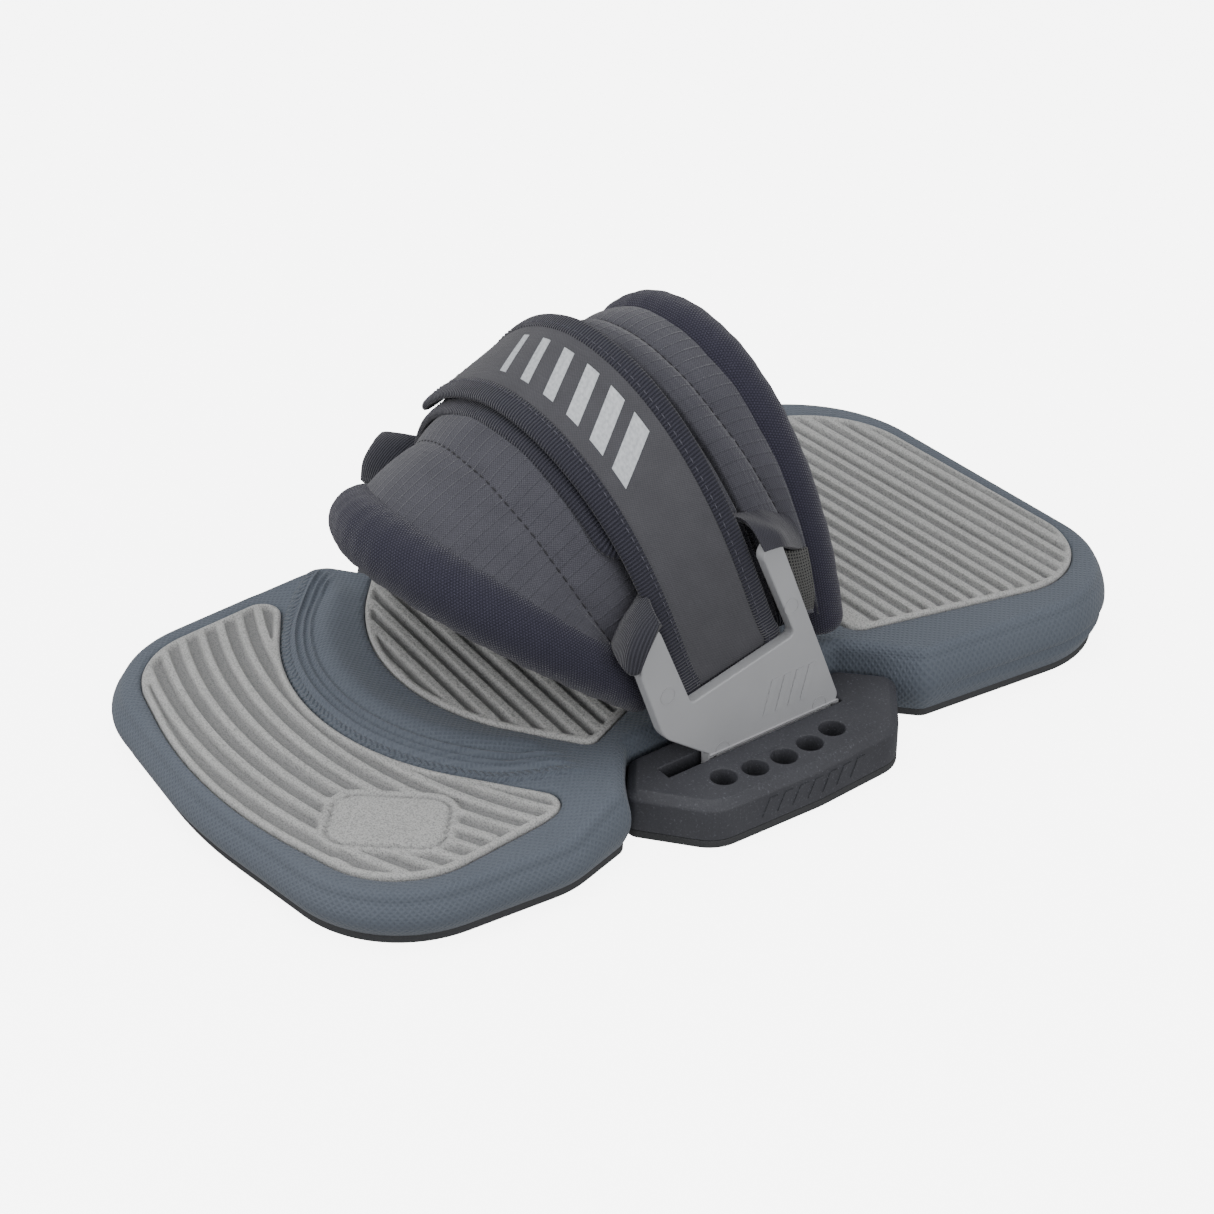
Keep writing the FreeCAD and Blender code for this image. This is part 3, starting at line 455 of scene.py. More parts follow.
def ridge_chevrons(finish):
    """A band of small chevrons that follows the toe ridge: height from 0 to 1."""
    centre = (*RIDGE_CENTRE, 0.0)
    from_centre = finish.node("VectorMath", {0: finish.place(), 1: centre}, operation="SUBTRACT")
    u, v, _ = finish.split(from_centre)
    flat = finish.node("CombineXYZ", {0: u, 1: v})
    reach = finish.node("VectorMath", {0: flat}, "Value", operation="LENGTH")
    turn = finish.math("MULTIPLY", finish.math("ARCTAN2", v, u), RIDGE_REACH)
    off_middle = finish.math("ABSOLUTE", finish.math("SUBTRACT", reach, RIDGE_REACH - 1.6))
    chevrons = finish.wave(finish.math("ADD", turn, off_middle), 2.2)
    band = finish.math("MULTIPLY", chevrons, finish.ramp(off_middle, 1.7, 1.3))
    toe = finish.ramp(v, -38.0, -42.0)
    return finish.math("MULTIPLY", band, toe)


def grip_finish():
    """Pale warm grey foam with a pebbled skin, and painted shade that darkens it down in its grooves."""
    finish = Finish("pebbled_grip", (0.33, 0.33, 0.32), 0.8, Sheen_Weight=0.08, Sheen_Roughness=0.5)
    at = finish.place()
    grain = finish.noise(at, 0.45, 3.0)
    clouds = finish.noise(at, 16.0, 3.0)
    tone = finish.mix(clouds, (0.42, 0.422, 0.416), (0.52, 0.52, 0.51))
    tone = finish.mix(finish.ramp(grain, 0.56, 0.36), tone, (0.26, 0.262, 0.26))
    # painted shade: the sunk attribute mixes the grooves towards near-black, standing in for the shade
    # that falls in them
    sunk = finish.node("Attribute", {}, "Fac", attribute_name="sunk")
    finish.colour(finish.mix(finish.math("MULTIPLY", sunk, 0.6), tone, (0.09, 0.093, 0.098)))
    finish.rough(grain, 0.7, 0.92)
    finish.bump(grain, 0.35)
    return finish.material


def nylon_finish(name, dark, light, roughness):
    """Moulded plastic with a fine spark-eroded grain and pale specks."""
    finish = Finish(name, light, roughness, Specular_IOR_Level=0.42)
    at = finish.place()
    grain = finish.noise(at, 0.42, 3.0)
    clouds = finish.noise(at, 22.0, 2.0)
    specks = finish.ramp(finish.noise(at, 0.7, 2.0), 0.6, 0.74)
    tone = finish.mix(clouds, dark, light)
    pale = tuple(2.4 * part for part in light)
    finish.colour(finish.mix(finish.math("MULTIPLY", specks, 0.45), tone, pale))
    finish.rough(grain, roughness - 0.1, roughness + 0.14)
    finish.bump(grain, 0.1)
    return finish.material


def satin_finish():
    """Light grey satin moulding, clouded a little by the mould's texture."""
    finish = Finish("satin_bracket", (0.37, 0.375, 0.39), 0.45, Specular_IOR_Level=0.4)
    at = finish.place()
    grain = finish.noise(at, 0.3, 2.0)
    clouds = finish.noise(at, 18.0, 3.0)
    finish.colour(finish.mix(clouds, (0.335, 0.34, 0.355), (0.405, 0.41, 0.425)))
    finish.rough(grain, 0.36, 0.55)
    finish.bump(grain, 0.035)
    return finish.material


def steel_finish():
    finish = Finish("pin_steel", (0.58, 0.58, 0.6), 0.3, Metallic=1.0)
    u, v, w = finish.split(finish.place())
    drawn_out = finish.node("CombineXYZ", {0: u, 1: finish.math("MULTIPLY", v, 0.05), 2: w})
    brushed = finish.noise(drawn_out, 0.2)
    finish.rough(brushed, 0.2, 0.45)
    return finish.material


def rubber_finish():
    finish = Finish("base_rubber", (0.03, 0.032, 0.035), 0.75)
    grain = finish.noise(finish.place(), 0.6, 3.0)
    finish.colour(finish.mix(grain, (0.02, 0.021, 0.024), (0.05, 0.052, 0.056)))
    finish.bump(grain, 0.1)
    return finish.material


def plain_cloth(name, pattern, dark, light, pitch, relief, sheen=0.25):
    """A matte fabric; pattern is the function that lays its threads."""
    finish = Finish(name, light, 0.85, Sheen_Weight=sheen, Sheen_Roughness=0.4, Specular_IOR_Level=0.2)
    pattern(finish, dark, light, pitch, relief)
    return finish.material


def print_finish():
    finish = Finish("pale_print", (0.52, 0.54, 0.57), 0.55)
    at = finish.place(cloth=True)
    wear = finish.noise(at, 1.1, 4.0)
    finish.colour(finish.mix(finish.ramp(wear, 0.3, 0.7), (0.42, 0.44, 0.47), (0.62, 0.64, 0.67)))
    finish.bump(wear, 0.08)
    return finish.material


def loop_tape(finish, dark, light, pitch, relief):
    """The short fuzzy pile of a hook or loop tape."""
    at = finish.place(cloth=True)
    pile = finish.noise(at, pitch, 5.0)
    finish.colour(finish.mix(finish.ramp(pile, 0.3, 0.7), dark, light))
    finish.bump(pile, relief)


def net(finish, dark, light, pitch, relief):
    """An open mesh fabric: pale threads round dark eyes."""
    at = finish.place(cloth=True)
    u, v, _ = finish.split(at)
    eyes = finish.math("MULTIPLY", finish.wave(u, pitch), finish.wave(v, pitch))
    threads = finish.ramp(eyes, 0.5, 0.15)
    finish.colour(finish.mix(threads, dark, light))
    finish.bump(threads, relief)


FINISHES = {
    "foam": foam_finish(),
    "grip": grip_finish(),
    "nylon": nylon_finish("wing_nylon", (0.03, 0.031, 0.038), (0.06, 0.062, 0.072), 0.6),
    "satin": satin_finish(),
    "steel": steel_finish(),
    "rubber": rubber_finish(),
    "print": print_finish(),
}
# Key, name, pattern, dark and light colours, pitch, relief, and the sheen where it isn't plain
CLOTHS = (
    ("panel", "panel_weave", ripstop, (0.03, 0.03, 0.04), (0.105, 0.105, 0.124), 0.42, 0.1, 0.35),
    ("strap", "strap_weave", weave, (0.042, 0.042, 0.048), (0.104, 0.104, 0.116), 0.36, 0.07),
    ("roll", "roll_knit", knit, (0.013, 0.013, 0.022), (0.056, 0.054, 0.084), 0.8, 0.2),
    ("lining", "lining_knit", knit, (0.01, 0.01, 0.013), (0.045, 0.045, 0.055), 1.6, 0.25),
    ("binding", "binding_ribs", ribs, (0.014, 0.014, 0.022), (0.05, 0.05, 0.068), 1.05, 0.35),
    ("webbing", "webbing_ribs", ribs, (0.018, 0.018, 0.024), (0.056, 0.056, 0.07), 0.85, 0.22),
    ("hooks", "hook_pile", loop_tape, (0.008, 0.008, 0.009), (0.03, 0.03, 0.034), 0.5, 0.5),
    ("mesh", "side_net", net, (0.01, 0.01, 0.012), (0.09, 0.09, 0.085), 1.1, 0.3),
    ("tab", "tab_weave", weave, (0.018, 0.018, 0.024), (0.055, 0.055, 0.068), 0.4, 0.06),
    ("thread", "thread", ribs, (0.012, 0.012, 0.016), (0.05, 0.05, 0.058), 0.5, 0.05),
    ("pale_thread", "pale_thread", ribs, (0.06, 0.06, 0.078), (0.12, 0.12, 0.15), 0.5, 0.05),
)
for key, *cloth in CLOTHS:
    FINISHES[key] = plain_cloth(*cloth)


# ---------------------------------------------------------------- camera, light and floor


def aim(thing, place, target):
    thing.location = place
    thing.rotation_euler = (Vector(target) - Vector(place)).to_track_quat("-Z", "Y").to_euler()
    bpy.context.scene.collection.objects.link(thing)


def add_camera():
    target = Vector((0.0056, -0.00475, 0.0279))
    azimuth, elevation, distance = math.radians(53.0), math.radians(32.0), 0.837
    back = Vector((math.sin(azimuth) * math.cos(elevation), -math.cos(azimuth) * math.cos(elevation),
                   math.sin(elevation)))
    data = bpy.data.cameras.new("camera")
    data.sensor_width = 36.0
    data.lens = 83.27
    data.clip_start = 0.01
    camera = bpy.data.objects.new("camera", data)
    aim(camera, target + distance * back, target)
    bpy.context.scene.camera = camera


def add_light(name, place, size, power):
    data = bpy.data.lights.new(name, "AREA")
    data.shape = "DISK"
    data.size = size
    data.energy = power
    aim(bpy.data.objects.new(name, data), place, (0, 0, 0.03))


def add_studio():
    """A white floor that glows a little, a white surround and three soft lights."""
    world = bpy.data.worlds.new("surround")
    world.use_nodes = True
    world.node_tree.nodes["Background"].inputs[0].default_value = (1.0, 1.0, 1.0, 1.0)
    world.node_tree.nodes["Background"].inputs[1].default_value = 0.5
    bpy.context.scene.world = world
    add_light("top_light", (-0.1, -0.15, 1.4), 1.1, 10.0)
    add_light("toe_light", (-0.2, -1.1, 0.6), 0.8, 6.0)
    add_light("side_light", (1.2, 0.1, 0.45), 0.9, 6.5)
    mesh = bpy.data.meshes.new("floor")
    reach = 40.0
    mesh.from_pydata([(-reach, -reach, 0), (reach, -reach, 0), (reach, reach, 0), (-reach, reach, 0)],
                     [], [(0, 1, 2, 3)])
    floor = bpy.data.objects.new("floor", mesh)
    floor.location.z = -0.0002
    floor.visible_diffuse = False
    floor.visible_glossy = False
    bpy.context.scene.collection.objects.link(floor)
    finish = Finish("floor_white", (0.92, 0.92, 0.92), 0.9, Emission_Strength=6.0)
    finish.shader.inputs["Emission Color"].default_value = (1.0, 1.0, 1.0, 1.0)
    mesh.materials.append(finish.material)


# ---------------------------------------------------------------- footpad and grips


PAD_BOTTOM = node_box("pad_body")[0][2]
TOE_TOP, ARCH_RISE, HEEL_RISE = 16.5, 4.0, 2.8
EDGE_ROUND = 3.4
EDGE_PROUD = 0.8
POCKET_LIP = 0.55
GROOVE_DEPTH = 1.6
# The plain plaque on the toe grip
PLAQUE_CENTRE = np.array([44.0, -108.0])
PLAQUE_HALF = np.array([19.0, 14.0])
PLAQUE_CORNER = 9.0
PLAQUE_TURN = math.radians(48.0)
GRIP_NODES = ("toe_insert", "arch_insert", "heel_insert")


def grip_outline(node):
    return section(node, node_box(node)[0][2] + 0.4)


def pad_top(points):
    """Height of the footpad's top: a low toe, a raised dish behind it and a higher heel."""
    along = points[:, 1]
    reach = np.linalg.norm(points - RIDGE_CENTRE, axis=1)
    rise = np.maximum(smooth(79.0, 64.0, reach), smooth(-76.0, -54.0, along))
    ridge = 0.9 * smooth(80.0, 78.6, reach) * smooth(70.0, 76.0, reach) * smooth(-50.0, -62.0, along)
    lines = sum(np.exp(-((reach - RIDGE_REACH + back) / 0.6) ** 2) for back in (4.6, 7.0, 9.4))
    crest = 1.2 * smooth(57.0, 66.0, reach) * smooth(74.0, 66.0, reach)
    toe = smooth(-52.0, -60.0, along)
    return (TOE_TOP + ARCH_RISE * rise + HEEL_RISE * smooth(2.0, 46.0, along) + ridge
            + (1.15 * lines + crest) * toe)


def pad_rings(outline):
    """Rings of the footpad's side, from its bottom edge up and over its rounded top edge."""
    normals = outward(outline)
    places = outline[:, 1]
    free = np.maximum(smooth(-42.0, -56.0, places), smooth(46.0, 60.0, places))
    tops = pad_top(outline)
    heel = smooth(55.0, 85.0, places)
    rings = []
    for share in np.linspace(0.0, 1.0, 15):
        height = PAD_BOTTOM + (tops - EDGE_ROUND - PAD_BOTTOM) * share
        proud = -0.6 + 3.4 * math.sin(math.pi * min(share * 0.85 + 0.05, 1.0)) + 0.9 * share
        crease = 1.5 * heel * np.exp(-((share - 0.42) / 0.07) ** 2)
        offset = free * (proud - crease)
        rings.append(level(outline + normals * offset[:, None], height))
    brow = free * EDGE_PROUD
    for turn in np.radians(np.linspace(11, 90, 8)):
        offset = brow - EDGE_ROUND * 0.85 * (1 - math.cos(turn))
        height = tops - EDGE_ROUND * (1 - math.sin(turn))
        rings.append(level(outline + normals * offset[:, None], height))
    return rings


def make_footpad():
    """The foam pad: bulging sides, a rounded brow, a ridged toe and three open pockets."""
    outline = even(section("pad_body", 10.0), 1.3, closed=True)
    rings = pad_rings(outline)
    brow = rings[-1][:, :2]
    holes = [even(grip_outline(node), 1.1, closed=True) for node in GRIP_NODES]
    lips = [hole + outward(hole) * 0.9 for hole in holes]
    mouths = [hole + outward(hole) * 0.35 for hole in holes]
    box_low, box_high = outline.min(0), outline.max(0)
    loose = grid(box_low, box_high, 2.2, 2.2)
    fine = polar_grid(RIDGE_CENTRE, np.arange(61.0, 80.0, 0.42), 1.7)
    reach = np.linalg.norm(loose - RIDGE_CENTRE, axis=1)
    loose = loose[(reach < 60.5) | (reach > 80.5) | (loose[:, 1] > -20)]
    loose = np.vstack([loose, fine[fine[:, 1] < -20]])
    clear = depth(loose, brow) > 0.6
    for lip in lips:
        clear &= depth(loose, lip) < -0.5
    loose = loose[clear]

    def height(flat):
        top = pad_top(flat)
        at_brow = depth(flat, brow) < 0.3
        top[at_brow] = np.array([rings[-1][np.argmin(((brow - point) ** 2).sum(1)), 2]
                                 for point in flat[at_brow]])
        for mouth in mouths:
            top = top - POCKET_LIP * smooth(0.5, 0.0, -depth(flat, mouth))
        return top

    walls = loft_wall(rings)
    top = top_skin(brow, np.vstack([loose, *lips]), height, mouths)
    pockets = []
    for mouth, node in zip(mouths, GRIP_NODES):
        rim = level(mouth, pad_top(mouth) - POCKET_LIP)
        floor = level(mouth, node_box(node)[0][2] - 0.1)
        pockets += [wall(rim, floor), lid(floor)]
    points, faces, uv = join([walls, top, *pockets, lid(rings[0])])
    piece = new_piece("footpad", points, faces, uv, "base", "pad_foam", FINISHES["foam"], ["pad_body"])


def loft_wall(rings):
    """The open skin round a stack of level rings, with its coordinates along and up."""
    rings = np.array(rings)
    count, around = rings.shape[:2]
    along = lengths(np.vstack([rings[0], rings[0][:1]]))
    up = lengths(rings[:, 0])
    faces, uv = [], []
    for row in range(count - 1):
        for column in range(around):
            beside = (column + 1) % around
            faces.append((row * around + column, row * around + beside,
                          (row + 1) * around + beside, (row + 1) * around + column))
            uv += [(along[column], up[row]), (along[column + 1], up[row]),
                   (along[column + 1], up[row + 1]), (along[column], up[row + 1])]
    return rings.reshape(-1, 3), faces, uv


def make_grip(name, node, loose, groove):
    """A grip plate: ribs and grooves inside a plain raised rim.

    groove gives, for flat points, how sunk each is, from 0 to 1.
    """
    low, high = node_box(node)
    outline = even(grip_outline(node), 1.0, closed=True)
    normals = outward(outline)
    rings = [outline - normals * inset for inset in (0.0, 0.35, 0.8, 1.5)]
    loose = loose[depth(loose, outline) > 2.2]

    def sunk(flat):
        return groove(flat) * smooth(1.5, 2.7, depth(flat, outline))

    def height(flat):
        inset = np.clip(depth(flat, outline), 0.0, 1.5)
        brow = 0.8 * (1 - np.sqrt(1 - (1 - np.clip(inset / 1.2, 0, 1)) ** 2))
        return high[2] - brow - GROOVE_DEPTH * sunk(flat)

    top = top_skin(rings[0], np.vstack([*rings[1:], loose]), height)
    rim = level(outline, height(outline))
    foot = level(outline, low[2])
    points, faces, uv = join([top, wall(rim, foot), lid(foot)])
    piece = new_piece(name, points, faces, uv, "base", "grip_foam", FINISHES["grip"], [node], sharp=60)
    # the sunk attribute holds each point's groove depth, which the grip material uses to paint shade into
    # the grooves
    flat = np.array([vert.co[:2] for vert in piece.data.vertices]) / MM
    groove_shade_mask = piece.data.attributes.new("sunk", "FLOAT", "POINT")
    groove_shade_mask.data.foreach_set("value", sunk(flat).astype(np.float32))


def straight_grooves(first, pitch, count, profile, slope=0.0):
    """How sunk flat points are in a row of grooves across the foot, that may run askew.

    profile gives the distances from a groove's middle at its lip and at its floor.
    """
    def groove(flat):
        place = (flat[:, 1] - slope * flat[:, 0] - first) / pitch
        near = np.clip(np.round(place), 0, count - 1)
        return smooth(*profile, np.abs(place - near) * pitch)
    return groove


def arc_grooves(centre, first, pitch, count, profile):
    """How sunk flat points are in a set of grooves on arcs, with a plain plaque between them."""
    def groove(flat):
        place = (first - np.linalg.norm(flat - centre, axis=1)) / pitch
        near = np.clip(np.round(place), 0, count - 1)
        cut = smooth(*profile, np.abs(place - near) * pitch)
        plaque = plaque_depth(flat)
        ring = 0.6 * smooth(0.85, 0.3, np.abs(plaque - 2.6))
        return np.maximum(cut * smooth(0.6, -0.6, plaque), ring)
    return groove


def plaque_depth(flat):
    """Depth inside a plain round-cornered plaque on the toe grip, negative outside."""
    across = np.array([math.cos(PLAQUE_TURN), math.sin(PLAQUE_TURN)])
    along = np.array([-across[1], across[0]])
    from_centre = flat - PLAQUE_CENTRE
    moved = np.abs(np.column_stack([from_centre @ across, from_centre @ along]))
    beyond = moved - (PLAQUE_HALF - PLAQUE_CORNER)
    outside = np.linalg.norm(np.maximum(beyond, 0), axis=1) + np.minimum(beyond.max(1), 0)
    return PLAQUE_CORNER - outside


def make_grips():
    heel_low, heel_high = node_box("heel_insert")
    make_grip("heel_grip", "heel_insert", grid(heel_low[:2], heel_high[:2], 1.3, 0.42),
              straight_grooves(58.8, 5.31, 16, (1.55, 0.85)))
    arch_low, arch_high = node_box("arch_insert")
    make_grip("arch_grip", "arch_insert", grid(arch_low[:2], arch_high[:2], 1.2, 0.42),
              straight_grooves(-72.2, 5.8, 9, (1.8, 0.7), slope=-0.09))
    centre = np.array([-6.0, 52.0])
    loose = polar_grid(centre, np.arange(108.0, 200.0, 0.45), 1.2, -140.0, -50.0)
    make_grip("toe_grip", "toe_insert", loose, arc_grooves(centre, 186.9, 6.1, 9, (2.1, 1.3)))


# ---------------------------------------------------------------- curved surfaces


class Arch:
    """A squarish arch over the foot between a right-hand base, 0, and a left-hand one, 180."""

    def __init__(self, shape, halves, powers, lean=1.0):
        self.shape = np.asarray(shape, float)
        self.halves = halves
        self.powers = powers
        self.lean = lean

    def at(self, degrees, grow=0.0):
        turn = math.radians(degrees)
        cosine = math.cos(turn)
        power = self.powers[1] if cosine < 0 else self.powers[0]
        share = 0.5 + 0.5 * cosine
        half = self.halves[1] + (self.halves[0] - self.halves[1]) * share + grow
        across = math.copysign(abs(cosine) ** (2 / power), cosine) * half
        rise = abs(math.sin(turn)) ** (2 / power)
        base_along, base_up, crest_along, crest_up = self.shape
        along = base_along + (crest_along - base_along) * rise ** self.lean
        return np.array([across, along, base_up + (crest_up + grow - base_up) * rise])


class Strap:
    """A strap's surface in flat cloth coordinates: length from the right-hand bracket, and width
    from the toe edge. Past either end it goes straight down behind the bracket's bar. sink is how
    far it lies below the over-strap's outer face, and drift how far it lies toe-ward of it, over
    all but its left-hand end."""

    def __init__(self, sink=0.0, drift=0.0):
        self.sink = sink
        self.drift = drift
        self.angles = np.linspace(0.0, 180.0, 361)
        self.places = lengths(np.array([self.arch(0.5).at(angle, -sink) for angle in self.angles]))

    def arch(self, share):
        shape = np.array(STRAP_TOE_EDGE) * (1 - share) + np.array(STRAP_HEEL_EDGE) * share
        return Arch(shape, STRAP_HALVES, STRAP_POWERS, STRAP_LEAN)

    def at(self, length, width, lift=0.0):
        angle = np.interp(length, self.places, self.angles)
        below = min(length, 0.0)
        if length > self.places[-1]:
            below = self.places[-1] - length
        aside = self.drift * float(smooth(150.0, 105.0, angle))
        spot = self.arch((width - aside) / STRAP_WIDTH).at(float(angle), lift - self.sink)
        return spot + np.array([0.0, 0.0, below])

    def length_to(self, degrees):
        return float(np.interp(degrees, self.angles, self.places))


class Saddle:
    """The saddle's outer surface: place runs from 0 at its toe edge to 3 at its heel edge."""

    def at(self, place, degrees, grow=0.0):
        last = len(SADDLE_ARCHES) - 1
        index = min(int(place), last - 1)
        share = place - index
        before = SADDLE_ARCHES[max(index - 1, 0)]
        start, end = SADDLE_ARCHES[index], SADDLE_ARCHES[index + 1]
        after = SADDLE_ARCHES[min(index + 2, last)]
        slope_in, slope_out = (end - before) / 2, (after - start) / 2
        square, cube = share ** 2, share ** 3
        shape = ((2 * cube - 3 * square + 1) * start + (cube - 2 * square + share) * slope_in
                 + (3 * square - 2 * cube) * end + (cube - square) * slope_out)
        far_power = FRONT_FAR_POWER + (SADDLE_POWERS[1] - FRONT_FAR_POWER) * min(place, 1.0)
        return Arch(shape, (SADDLE_HALF, SADDLE_HALF), (SADDLE_POWERS[0], far_power)).at(degrees, grow)


SADDLE = Saddle()


def flat_section(low, high, under, over):
    """(width, lift) pairs round a strip's section, its two edges rounded."""
    points = 12
    round_edge = (over - under) / 2
    middle = (over + under) / 2
    pairs = []
    for width in np.linspace(low + round_edge, high - round_edge, points):
        pairs.append((width, over))
    for turn in np.radians([60, 25, -25, -60]):
        pairs.append((high - round_edge * (1 - math.cos(turn)), middle + round_edge * math.sin(turn)))
    for width in np.linspace(high - round_edge, low + round_edge, points):
        pairs.append((width, under))
    for turn in np.radians([-60, -25, 25, 60]):
        pairs.append((low + round_edge * (1 - math.cos(turn)), middle + round_edge * math.sin(turn)))
    return pairs


def stitch_row(line, lifts, length=2.3, gap=0.7, radius=0.32):
    """Short threads along a line of points, each a small rounded bead that dips at its ends.

    lifts are the unit directions that stand up from the cloth at those points.
    """
    places = lengths(line)
    parts = []
    pitch = length + gap
    for index in range(int(places[-1] / pitch)):
        rings = []
        for step, size in zip(np.linspace(0.0, 1.0, 6), (0.25, 0.8, 1.0, 1.0, 0.8, 0.25)):
            place = gap / 2 + index * pitch + step * length
            middle = np.array([np.interp(place, places, column) for column in line.T])
            beyond = np.array([np.interp(place + 0.2, places, column) for column in line.T])
            lift = np.array([np.interp(place, places, column) for column in lifts.T])
            side = np.cross(beyond - middle, lift)
            side /= max(np.linalg.norm(side), 1e-9)
            middle = middle + lift * (0.1 * math.sin(math.pi * step) - 0.05)
            rings.append([middle + radius * size * (math.cos(turn) * side + math.sin(turn) * lift)
                          for turn in np.radians(np.arange(0, 360, 60))])
        parts.append(loft(rings))
    return join(parts)


def normal_of(surface, first, second, step=0.5):
    """The direction that stands up from a surface at(first, second)."""
    here = surface(first, second)
    one = surface(first + step, second) - here
    other = surface(first, second + step) - here
    made = np.cross(one, other)
    made /= np.linalg.norm(made)
    return made if made @ (here - np.array([0.0, here[1], 30.0])) > 0 else -made


# ---------------------------------------------------------------- saddle


# The front seam's place at a few angles round the foot, and a smooth curve through them
FRONT_SEAM_AT = {0: 0.22, 21: 0.41, 37: 0.53, 55: 0.6, 78: 0.67, 92: 0.7, 130: 0.7, 180: 0.52}
FRONT_SEAM = np.polyfit(list(FRONT_SEAM_AT), list(FRONT_SEAM_AT.values()), 4)


def seam_front(degrees):
    """Place of the stitched seam that crosses the front panel."""
    return float(np.polyval(FRONT_SEAM, degrees))


def seam_rear(degrees):
    """Place of the stitched seam that crosses the rear panel."""
    return 2.3 + 0.6 * (1 - math.sin(math.radians(degrees))) ** 1.6


def puffed(place, seams, height):
    """A padded swelling between seams, which are places; 0 on each seam."""
    for low, high in zip(seams, seams[1:]):
        if low <= place <= high:
            return height * math.sin(math.pi * (place - low) / (high - low)) ** 0.6
    return 0.0


def saddle_band(low, high, under, over, starts, swell, points):
    """Rings of a band of the saddle between two places; swell gives its padding at a spot.

    starts are the angles at which the band begins, at its toe edge and at its heel edge.
    """
    rings = []
    round_edge = (over - under) / 2
    spread = np.linspace(low, high, points)
    for share in np.linspace(0.0, 1.0, 97):
        ring = []
        degrees_at = [start + (180 - 2 * start) * share for start in starts]
        for place in spread:
            part = (place - low) / (high - low)
            degrees = degrees_at[0] + (degrees_at[1] - degrees_at[0]) * part
            edge = min(part, 1 - part) * points / 1.5
            sink = round_edge * (1 - min(edge, 1.0)) ** 2
            ring.append(SADDLE.at(place, degrees, over - sink + swell(place, degrees)))
        for place in spread[::-1]:
            part = (place - low) / (high - low)
            degrees = degrees_at[0] + (degrees_at[1] - degrees_at[0]) * part
            ring.append(SADDLE.at(place, degrees, under))
        rings.append(ring)
    return rings


def flat_size(rings):
    """Widths of a thin band's rings and lengths of its lines, as its cloth lies before it is sewn."""
    rings = np.array(rings)
    face = rings[:, :rings.shape[1] // 2]
    widths = np.array([lengths(ring)[-1] for ring in face])
    ways = np.array([lengths(line)[-1] for line in face.transpose(1, 0, 2)])
    return widths, ways


def wrinkle(place, degrees):
    """Slight, fixed unevenness of stretched cloth."""
    return (0.16 * math.sin(5.1 * place + 0.13 * degrees) * math.sin(0.09 * degrees + 1.0)
            + 0.1 * math.sin(0.31 * degrees + 3.0 * place))


def make_saddle():
    def swell_front(place, degrees):
        seams = (0.0, seam_front(degrees), 1.08)
        return puffed(place, seams, 2.1) + wrinkle(place, degrees) - 0.5

    def swell_rear(place, degrees):
        seams = (1.9, seam_rear(degrees), 2.95)
        return puffed(place, seams, 1.9) + wrinkle(place, degrees) - 0.5

    def flat(place, degrees):
        return 0.0

    pieces = (
        ("front_cover", (0.04, 0.99), (0.2, 1.4), (3.0, 5.5), swell_front, "front_panel"),
        ("middle_cover", (1.0, 2.0), (0.2, 1.2), (5.5, 5.5), flat, "centre_panel"),
        ("rear_cover", (2.01, 2.92), (0.2, 1.4), (5.5, 3.0), swell_rear, "rear_panel"),
    )
    for name, places, lifts, starts, swell, node in pieces:
        rings = saddle_band(*places, *lifts, starts, swell, points=60)
        cover = new_piece(name, *loft(rings), "strap_carrier", "outer_fabric", FINISHES["panel"], [node])
    core = saddle_band(0.02, 2.98, -5.0, 0.0, (4.5, 4.5), flat, points=40)
    padding = new_piece("saddle_padding", *loft(core), "strap_carrier", "saddle_foam",
                        FINISHES["lining"], ["saddle_core"])
    inner = saddle_band(0.02, 2.98, -6.3, -5.1, (3.6, 3.6), flat, points=40)
    lining = new_piece("saddle_lining_cloth", *loft(inner), "strap_carrier", "lining_fabric",
                       FINISHES["lining"], ["saddle_lining"])
    widths, ways = flat_size(inner)
    for side, word in SIDES:
        hem = [SADDLE.at(place, 90 - side * (90 - 4.5), -2.6) for place in np.linspace(0.05, 2.95, 50)]
        new_piece("saddle_hem_" + word, *tube(hem, 4.3, 28), "strap_carrier", "roll_neoprene",
                  FINISHES["binding"])
    make_seams()


def make_seams():
    """The two rows of dark stitches over the covers, seen from both sides of the foot."""
    lift = 1.15
    for name, seam in (("front_seam", seam_front), ("rear_seam", seam_rear)):
        degrees = np.linspace(6.0, 174.0, 120)
        line = np.array([SADDLE.at(seam(angle), angle, lift + wrinkle(seam(angle), angle))
                         for angle in degrees])
        up = np.array([normal_of(SADDLE.at, seam(angle), angle, 0.02) for angle in degrees])
        new_piece(name, *stitch_row(line, up), "strap_carrier", "outer_fabric", FINISHES["thread"])


def tube(line, size, sides):
    """A soft tube of one radius along a line of points, closed by round ends."""
    line = np.asarray(line, float)
    ahead = np.gradient(line, axis=0)
    ahead /= np.linalg.norm(ahead, axis=1)[:, None]
    cap_rings = 5
    cap_turns = [math.pi / 2 * step / (cap_rings + 0.4) for step in range(1, cap_rings + 1)]

    def ring(middle, direction, radius):
        side = np.cross(direction, UP if abs(direction[2]) < 0.9 else (0.0, 1.0, 0.0))
        side /= np.linalg.norm(side)
        up = np.cross(side, direction)
        return [middle + radius * (math.cos(turn) * side + math.sin(turn) * up)
                for turn in np.linspace(0, 2 * math.pi, sides, endpoint=False)]

    def cap(index, way):
        return [ring(line[index] + way * ahead[index] * size * math.sin(turn) * 0.8, ahead[index],
                     size * math.cos(turn)) for turn in cap_turns]

    body = [ring(middle, direction, size) for middle, direction in zip(line, ahead)]
    return loft(cap(0, -1)[::-1] + body + cap(-1, 1))


